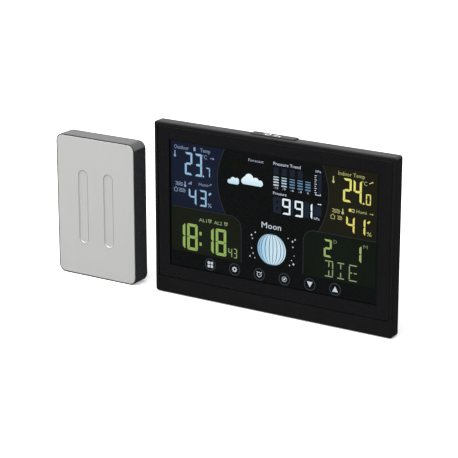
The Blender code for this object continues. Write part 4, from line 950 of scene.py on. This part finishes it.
class STATION_OT_indoor(Build, Operator):
    """Makes the indoor temperature, humidity and their small signs"""

    bl_idname = "station.indoor"
    bl_label = "Indoor readings"

    def make(self):
        paint = colours()
        low, high = on_front(0, 64, 0)[2], on_front(0, 100, 0)[2]
        glow("indoor_figures", paint.indoor_low, second=paint.indoor, low=low, high=high, outlines=[
            *row((("2", 143.0, 149.0), ("4", 150.4, 156.2)), *TEMPERATURE),
            oblong(157.1, 158.2, 85.5, 86.6, 0.2), *row((("0", 159.3, 162.8),), 85.6, 92.7, 0.75),
            *row((("4", 145.6, 151.6), ("1", 153.4, 159.3)), *INDOOR_HUMIDITY),
            stroke([(160.8, 73.7), (162.4, 75.1)], 1.2), *arrow(161.4, 164.2, 99.6, 1.4, 0.6),
            oblong(147.3, 149.0, 79.4, 81.3, 0.2),
        ])
        glow("indoor_labels", paint.indoor_faint, words=[
            ("Indoor Temp", 139.4, 158.2, *TITLE), ("\u00b0C", 156.4, 159.9, *UNIT),
            ("Humi", 152.8, 160.0, *HUMIDITY_TITLE)])
        glow("indoor_signs", paint.indoor_sign, words=[("%", 160.4, 163.8, *PERCENT)], outlines=[
            *thermometer(135.9, 96.4, 101.0), *air_lines(135.4, 141.4, 77.4), *thermometer(143.0, 76.8, 80.6),
            *house(134.4, 137.4, 72.8, 76.0), *air_lines(139.2, 143.0, 73.2),
            *arrow(162.2, 164.8, 80.0, 0.0, 0.6, 0.36),
        ], rings=[(oblong(149.2, 151.4, 79.2, 81.4, 0.4), oblong(149.4, 151.0, 79.7, 80.9, 0.2))])


class STATION_OT_clock(Build, Operator):
    """Makes the clock's figures and the two alarm signs"""

    bl_idname = "station.clock"
    bl_label = "Clock"

    def make(self):
        glow("clock_figures", colours().clock, uneven=0.20, outlines=[
            *row((("1", 15.8, 24.1), ("1", 38.2, 46.5)), 33.5, 51.8, 2.0, 0.22),
            *row((("8", 25.6, 33.9), ("8", 48.1, 56.3)), 33.4, 51.9, 2.0, 0.22),
            oblong(35.3, 37.0, 44.9, 47.4, 0.5), oblong(35.3, 37.0, 37.6, 40.0, 0.5),
        ])
        glow("clock_seconds", (0.22, 0.32, 0.13), outlines=row(
            (("4", 57.9, 60.9), ("3", 61.9, 64.7)), 33.6, 40.2, 0.70))
        (one, dial_one), (two, dial_two) = bell(43.6, 55.8), bell(56.0, 55.8)
        glow("alarm_signs", colours().clock_faint, words=[
            ("AL1", 35.0, 41.2, 54.6, 2.4), ("AL2", 46.8, 53.0, 54.6, 2.4),
        ], outlines=one + two, rings=dial_one + dial_two)


class STATION_OT_date(Build, Operator):
    """Makes the day, the month and the weekday"""

    bl_idname = "station.date"
    bl_label = "Date"

    def make(self):
        paint = colours()
        glow("date_figures", paint.date, outlines=[
            *row((("2", 129.8, 135.5),), 46.5, 58.4, 1.35),
            *row((("1", 151.0, 156.9),), 46.5, 58.2, 1.5, 0.2),
        ])
        weekday = (
            ("top bottom right_high right_low high low", 130.6, 136.8),
            ("top bottom high low", 139.6, 145.0),
            ("top bottom left_high left_low bar_left bar_right", 148.2, 154.2),
        )
        letters = [letter_figure(segments, left, right, *WEEKDAY) for segments, left, right in weekday]
        glow("weekday_figures", paint.date_faint, outlines=sum(letters, []))
        glow("date_signs", darker(paint.date_faint, 0.62), words=[
            ("D", 136.8, 139.2, 56.5, 2.5), ("M", 158.2, 161.2, 56.7, 2.5)])


class STATION_OT_pressure(Build, Operator):
    """Makes the pressure reading, its trend and the segments that aren't lit"""

    bl_idname = "station.pressure"
    bl_label = "Air pressure"

    def make(self):
        paint = colours()
        self.unlit(paint.unlit)
        glow("pressure_figures", paint.white, uneven=0.05, outlines=[
            *row((("9", 98.8, 104.9), ("9", 108.0, 114.1), ("1", 114.8, 121.0)), *PRESSURE),
            *arrow(124.8, 127.6, 80.6, 0.0, 0.6),
        ])
        self.bars("trend_bars_first", darker(paint.white, 0.70), TREND_LEFTS[:1])
        self.bars("trend_bars_second", (0.36, 0.52, 0.67), TREND_LEFTS[1:2])
        self.bars("trend_bars_later", paint.blue, TREND_LEFTS[2:])
        self.signs(paint.grey)

    def unlit(self, shade):
        low, high = 70.2, 80.6
        glow("unlit_segments", shade, LINES, uneven=0.3, outlines=[
            *(oblong(left, left + TREND_WIDE, 95.4, 100.4) for left in TREND_LEFTS[:4]),
            oblong(125.0, 127.4, 87.4, 100.4, 0.3), oblong(105.6, 107.0, low, high),
            oblong(115.2, 118.6, low, high), *figure("8", 92.0, 98.2, 69.9, high, 2.4, 0.0),
            oblong(121.8, 127.6, 72.6, 79.0, 0.4),
        ])

    def bars(self, name, shade, lefts):
        """Columns of the trend. The top bar of each is thinner."""
        heights = [TREND_TALL] * 3 + [TREND_TALL * 0.7]
        glow(name, shade, outlines=[
            oblong(left, left + TREND_WIDE, foot, foot + tall)
            for left in lefts for foot, tall in zip(TREND_ROWS, heights)
        ])

    def signs(self, shade):
        """The titles, the hours under the trend, and the scale at its right with a tray under it."""
        ticks, pitch, first, thick = 9, 1.4, 87.8, 0.45
        scale = [
            oblong(122.4, 123.4 if index % 2 else 124.0, first + pitch * index, first + thick + pitch * index)
            for index in range(ticks)
        ]
        left, right, low, high, wall = 123.0, 127.0, 86.3, 87.4, 0.5
        tray = [
            oblong(left, right, low, low + wall), oblong(left, left + wall, low, high),
            oblong(right - wall, right, low, high),
        ]
        hours = [
            (text, x + (TREND_WIDE - wide) / 2, x + (TREND_WIDE + wide) / 2, 86.1, 1.3)
            for text, x, wide in zip(("-12", "-9", "-6", "-3", "0"), TREND_LEFTS, (3.2, 2.6, 2.6, 2.6, 1.1))
        ]
        glow("pressure_signs", shade, outlines=scale + tray, words=[
            ("Pressure Trend", 92.0, 112.0, 101.8, 2.2), ("Pressure", 91.9, 101.8, 82.2, 2.0),
            ("hPa", 122.3, 126.2, 70.0, 1.8), ("hPa", 123.0, 126.9, 101.4, 1.6), *hours])


class STATION_OT_forecast(Build, Operator):
    """Makes the forecast's two clouds, its signs that aren't lit and its label"""

    bl_idname = "station.forecast"
    bl_label = "Forecast"

    def make(self):
        low, high = on_front(0, 84, 0)[2], on_front(0, 90, 0)[2]
        clouds = (
            ((58.8, 85.9, 1.5), (61.6, 87.1, 2.0), (64.4, 86.9, 2.0), (64.4, 86.1, 1.7)),
            ((69.9, 87.7, 2.1), (71.2, 88.8, 2.2), (73.8, 89.8, 3.3), (78.8, 88.6, 2.5), (82.1, 87.7, 2.1)),
        )
        glow("forecast_clouds", (0.42, 0.65, 0.77), second=(0.76, 0.85, 0.88), low=low, high=high,
             uneven=0.05, outlines=[cloud(*puffs) for puffs in clouds])
        self.sun(63.6, 97.4)
        drops = [(x, 81.8, 3.6) for x in (59.4, 61.8, 72.8, 75.2, 77.6, 80.0, 82.4)]
        drops += [(x, 77.4, 3.2) for x in (58.6, 61.0, 72.0, 74.4, 76.8, 79.2)]
        rain = [stroke([(x, top), (x - 1.8, top - fall)], 0.6) for x, top, fall in drops]
        flash = [
            (69.6, 81.8), (67.6, 81.8), (66.0, 77.6), (67.4, 77.6), (65.0, 73.6), (68.8, 78.4), (67.6, 78.4),
        ]
        glow("unlit_rain", (0.0040, 0.0070, 0.0066), LINES, uneven=0.3, outlines=[*rain, flash])
        glow("forecast_label", darker(colours().grey, 0.68), words=[("Forecast", 73.2, 84.6, 101.6, 1.9)])

    def sun(self, x, z):
        radius, inner, outer, thick = 2.6, 3.6, 5.4, 0.7
        rays = [
            stroke([(x + reach * cos(turn), z + reach * sin(turn)) for reach in (inner, outer)], thick)
            for turn in (radians(45 * index) for index in range(8))
        ]
        middle = disc(x, z, radius, 20)
        glow("unlit_sun", (0.0075, 0.0068, 0.0030), LINES, uneven=0.3, outlines=[middle, *rays])


class STATION_OT_moon(Build, Operator):
    """Makes the moon, its meridians, the stars and the label"""

    bl_idname = "station.moon"
    bl_label = "Moon"

    def make(self):
        white = darker(colours().white, 0.75)
        x, z = MOON_MIDDLE
        radius, rim = sizes().moon / MM, 0.15
        left, right = on_front(x - radius, 0, 0)[0], on_front(x, 0, 0)[0]
        glow("moon_disc", (0.03, 0.08, 0.15), LINES, outlines=[disc(x, z, radius, 48)])
        slices = [self.slice(x, z, radius - rim, *pair) for pair in zip(MERIDIANS, MERIDIANS[1:])]
        glow("moon_slices", (0.27, 0.50, 0.70), second=(0.60, 0.76, 0.82), low=left, high=right, axis=0,
             outlines=slices)
        glow("moon_stars", white, outlines=[self.star(*place) for place in STARS])
        glow("moon_label", white, words=[("Moon", 83.4, 98.0, 58.4, 4.2)])

    def slice(self, x, z, radius, one, two):
        """The strip between two meridians. The line kept clear of each thins towards the poles."""
        left, right = [], []
        pole, steps = 0.95, 20
        for step in range(steps + 1):
            tall = pole - 2 * pole * step / steps
            share = sqrt(1 - tall * tall)
            line = 0.27 * (0.35 + 0.65 * share)
            left.append((x + radius * one * share + (line if one > -1 else 0.0), z + radius * tall))
            right.append((x + radius * two * share - (line if two < 1 else 0.0), z + radius * tall))
        return left + right[::-1]

    def star(self, x, z, radius):
        """Four points, with the star's waist between them."""
        reach = (radius, radius * 0.55)
        turns = [(reach[index % 2], pi * index / 4) for index in range(8)]
        return [(x + far * cos(turn), z + far * sin(turn)) for far, turn in turns]


class STATION_OT_touch_keys(Build, Operator):
    """Makes the rings and the signs of the six touch keys"""

    bl_idname = "station.touch_keys"
    bl_label = "Touch keys"

    def make(self):
        ring, z = sizes().ring / MM, KEY_HEIGHT
        rings = [(disc(x, z, ring, 40), disc(x, z, ring - 0.55, 40)) for x in KEY_MIDDLES]
        glow("touch_key_rings", (0.030, 0.046, 0.054), rings=rings)
        views, gear, alarm, dial, down, up = KEY_MIDDLES
        pane, near, far = 1.8, 0.3, -2.1
        panes = [
            oblong(views + dx, views + dx + pane, z + dz, z + dz + pane, 0.3)
            for dx in (far, near) for dz in (far, near)
        ]
        bells, faces = bell(alarm, z - 0.2, 1.8)
        needle = [stroke([(dial - 0.9, z - 0.9), (dial + 0.9, z + 0.9)], 0.5), disc(dial, z, 0.6, 12)]
        half, base, tip = 2.1, 1.8, 2.0
        glow("touch_key_signs", darker(colours().white, 0.72), outlines=[
            *panes, *bells, *needle,
            [(down - half, z + base), (down, z - tip), (down + half, z + base)],
            [(up - half, z - base), (up + half, z - base), (up, z + tip)],
        ], rings=[wheel(gear, z, 1.95, 0.85), (disc(dial, z, 1.8, 24), disc(dial, z, 1.5, 24)), *faces])


class STATION_OT_snooze_signs(Build, Operator):
    """Makes the light and snooze signs on top of the snooze key"""

    bl_idname = "station.snooze_signs"
    bl_label = "Snooze key signs"

    def make(self):
        x, y = 84.8, 5.6
        outer, inner = arc(x, y, 2.3, 0, 360, 20, 1.6)[:-1], arc(x, y, 1.6, 0, 360, 20, 0.95)[:-1]
        near, far = (2.8, 2.0), (3.4, 2.4)      # reach of the rays across and along the key
        rays = [
            stroke([(x + wide * cos(turn), y + deep * sin(turn)) for wide, deep in (near, far)], 0.4)
            for turn in (radians(140 + 40 * index) for index in range(3))
        ]
        white = moulded("Pad-printed white", (0.85, 0.85, 0.85), 0.5, spread=0.05)
        inlay("snooze_signs", white, 1.0, words=[("Zz", 88.8, 94.6, 3.9, 3.0)], outlines=rays,
              rings=[(outer, inner)], plane=on_key, body="snooze")


class STATION_OT_face_plate(Build, Operator):
    """Makes the sensor's satin face plate with its two pressed grooves, and a ring of painted shade round
    each groove
    """

    bl_idname = "station.face_plate"
    bl_label = "Sensor face plate"

    grooves = (-10.55, 10.55)
    groove_half, groove_low, groove_high, groove_deep = 3.65, 24.0, 76.0, 0.5
    corner = 4.5

    def make(self):
        form = bmesh.new()
        low, high = PLATE_LOW / MM, PLATE_HIGH / MM
        turned = sizes().plate_round / MM
        rings = [self.ring(form, low, high, 0.0, high.y)]
        for step in range(5):
            turn = radians(90 * step / 4)
            inset, depth = turned * (1 - cos(turn)), turned * (1 - sin(turn))
            rings.append(self.ring(form, low, high, inset, low.y + depth))
        closed_ring(form, rings, wrap=False)
        form.faces.new(rings[0])
        middle = (low.x + high.x) / 2
        edges = self.loop(form, rings[-1])
        for offset in self.grooves:
            edges += self.groove(form, middle + offset, low.y)
        bmesh.ops.triangle_fill(form, use_beauty=True, use_dissolve=False, edges=edges)
        for face in form.faces:
            face.smooth = True
        made = fresh("satin_face_plate", form, frame["nodes"]["sensor_face_plate"].data.materials[0],
                     "outdoor_sensor")
        made.data.set_sharp_from_angle(angle=radians(50))
        even = made.modifiers.new("even", "WEIGHTED_NORMAL")
        even.keep_sharp = True
        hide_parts("sensor_face_plate")
        # A dark ring round each groove's mouth: painted shade where the groove's pressed edge falls dark.
        rings = [
            [self.outline(offset, self.groove_half + wider) for wider in (0.3, 0.0)]
            for offset in self.grooves
        ]
        inlay("groove_painted_shade", brushed("Groove painted shade", (0.20, 0.20, 0.20), 0.4, 0.5, spread=0.03), 0.3,
              rings=rings, plane=on_plate, body="outdoor_sensor")

    def ring(self, form, low, high, inset, y):
        outline = oblong(low.x + inset, high.x - inset, low.z + inset, high.z - inset, self.corner - inset, 8)
        return [form.verts.new((x * MM, y * MM, z * MM)) for x, z in outline]

    def loop(self, form, ring):
        pairs = zip(ring, ring[1:] + ring[:1])
        return [form.edges.get(pair) or form.edges.new(pair) for pair in pairs]

    def outline(self, x, half):
        return (
            arc(x, self.groove_high - self.groove_half, half, 0, 180, 14)
            + arc(x, self.groove_low + self.groove_half, half, 180, 360, 14)
        )

    def groove(self, form, x, front):
        """A groove's rounded side and its floor. Returns the edges of its mouth."""
        lip = sizes().groove_lip / MM
        rings = []
        for step in range(9):
            share = step / 8
            inset = lip * share
            depth = self.groove_deep * (1 - cos(pi * share)) / 2
            outline = self.outline(x, self.groove_half - inset)
            rings.append([form.verts.new((u * MM, (front + depth) * MM, v * MM)) for u, v in outline])
        closed_ring(form, rings, wrap=False)
        form.faces.new(rings[-1])
        return self.loop(form, rings[0])


class STATION_PT_panel(Panel):
    """Lists what the set is made of, in the order it is made"""

    bl_idname = "STATION_PT_panel"
    bl_label = "Weather Station"
    bl_space_type = "VIEW_3D"
    bl_region_type = "UI"
    bl_category = "Weather Station"

    def draw(self, context):
        layout, scene = self.layout, context.scene
        for group in (scene.station_sizes, scene.station_colours, scene.station_light):
            box = layout.box()
            for name in group.bl_rna.properties.keys():
                if name not in ("rna_type", "name"):
                    box.prop(group, name)
        for step in STEPS:
            layout.operator(step.bl_idname)


STEPS = (
    STATION_OT_stage, STATION_OT_finishes, STATION_OT_face_plate, STATION_OT_display, STATION_OT_outdoor,
    STATION_OT_indoor, STATION_OT_clock, STATION_OT_date, STATION_OT_pressure, STATION_OT_forecast,
    STATION_OT_moon, STATION_OT_touch_keys, STATION_OT_snooze_signs,
)
CLASSES = (StationSizes, StationColours, StationLight, *STEPS, STATION_PT_panel)


def register():
    for made in CLASSES:
        bpy.utils.register_class(made)
    bpy.types.Scene.station_sizes = PointerProperty(type=StationSizes)
    bpy.types.Scene.station_colours = PointerProperty(type=StationColours)
    bpy.types.Scene.station_light = PointerProperty(type=StationLight)


def unregister():
    for name in ("station_sizes", "station_colours", "station_light"):
        delattr(bpy.types.Scene, name)
    for made in reversed(CLASSES):
        bpy.utils.unregister_class(made)


def main():
    register()
    for step in STEPS:
        group, name = step.bl_idname.split(".")
        getattr(getattr(bpy.ops, group), name)()


if __name__ == "__main__":
    main()
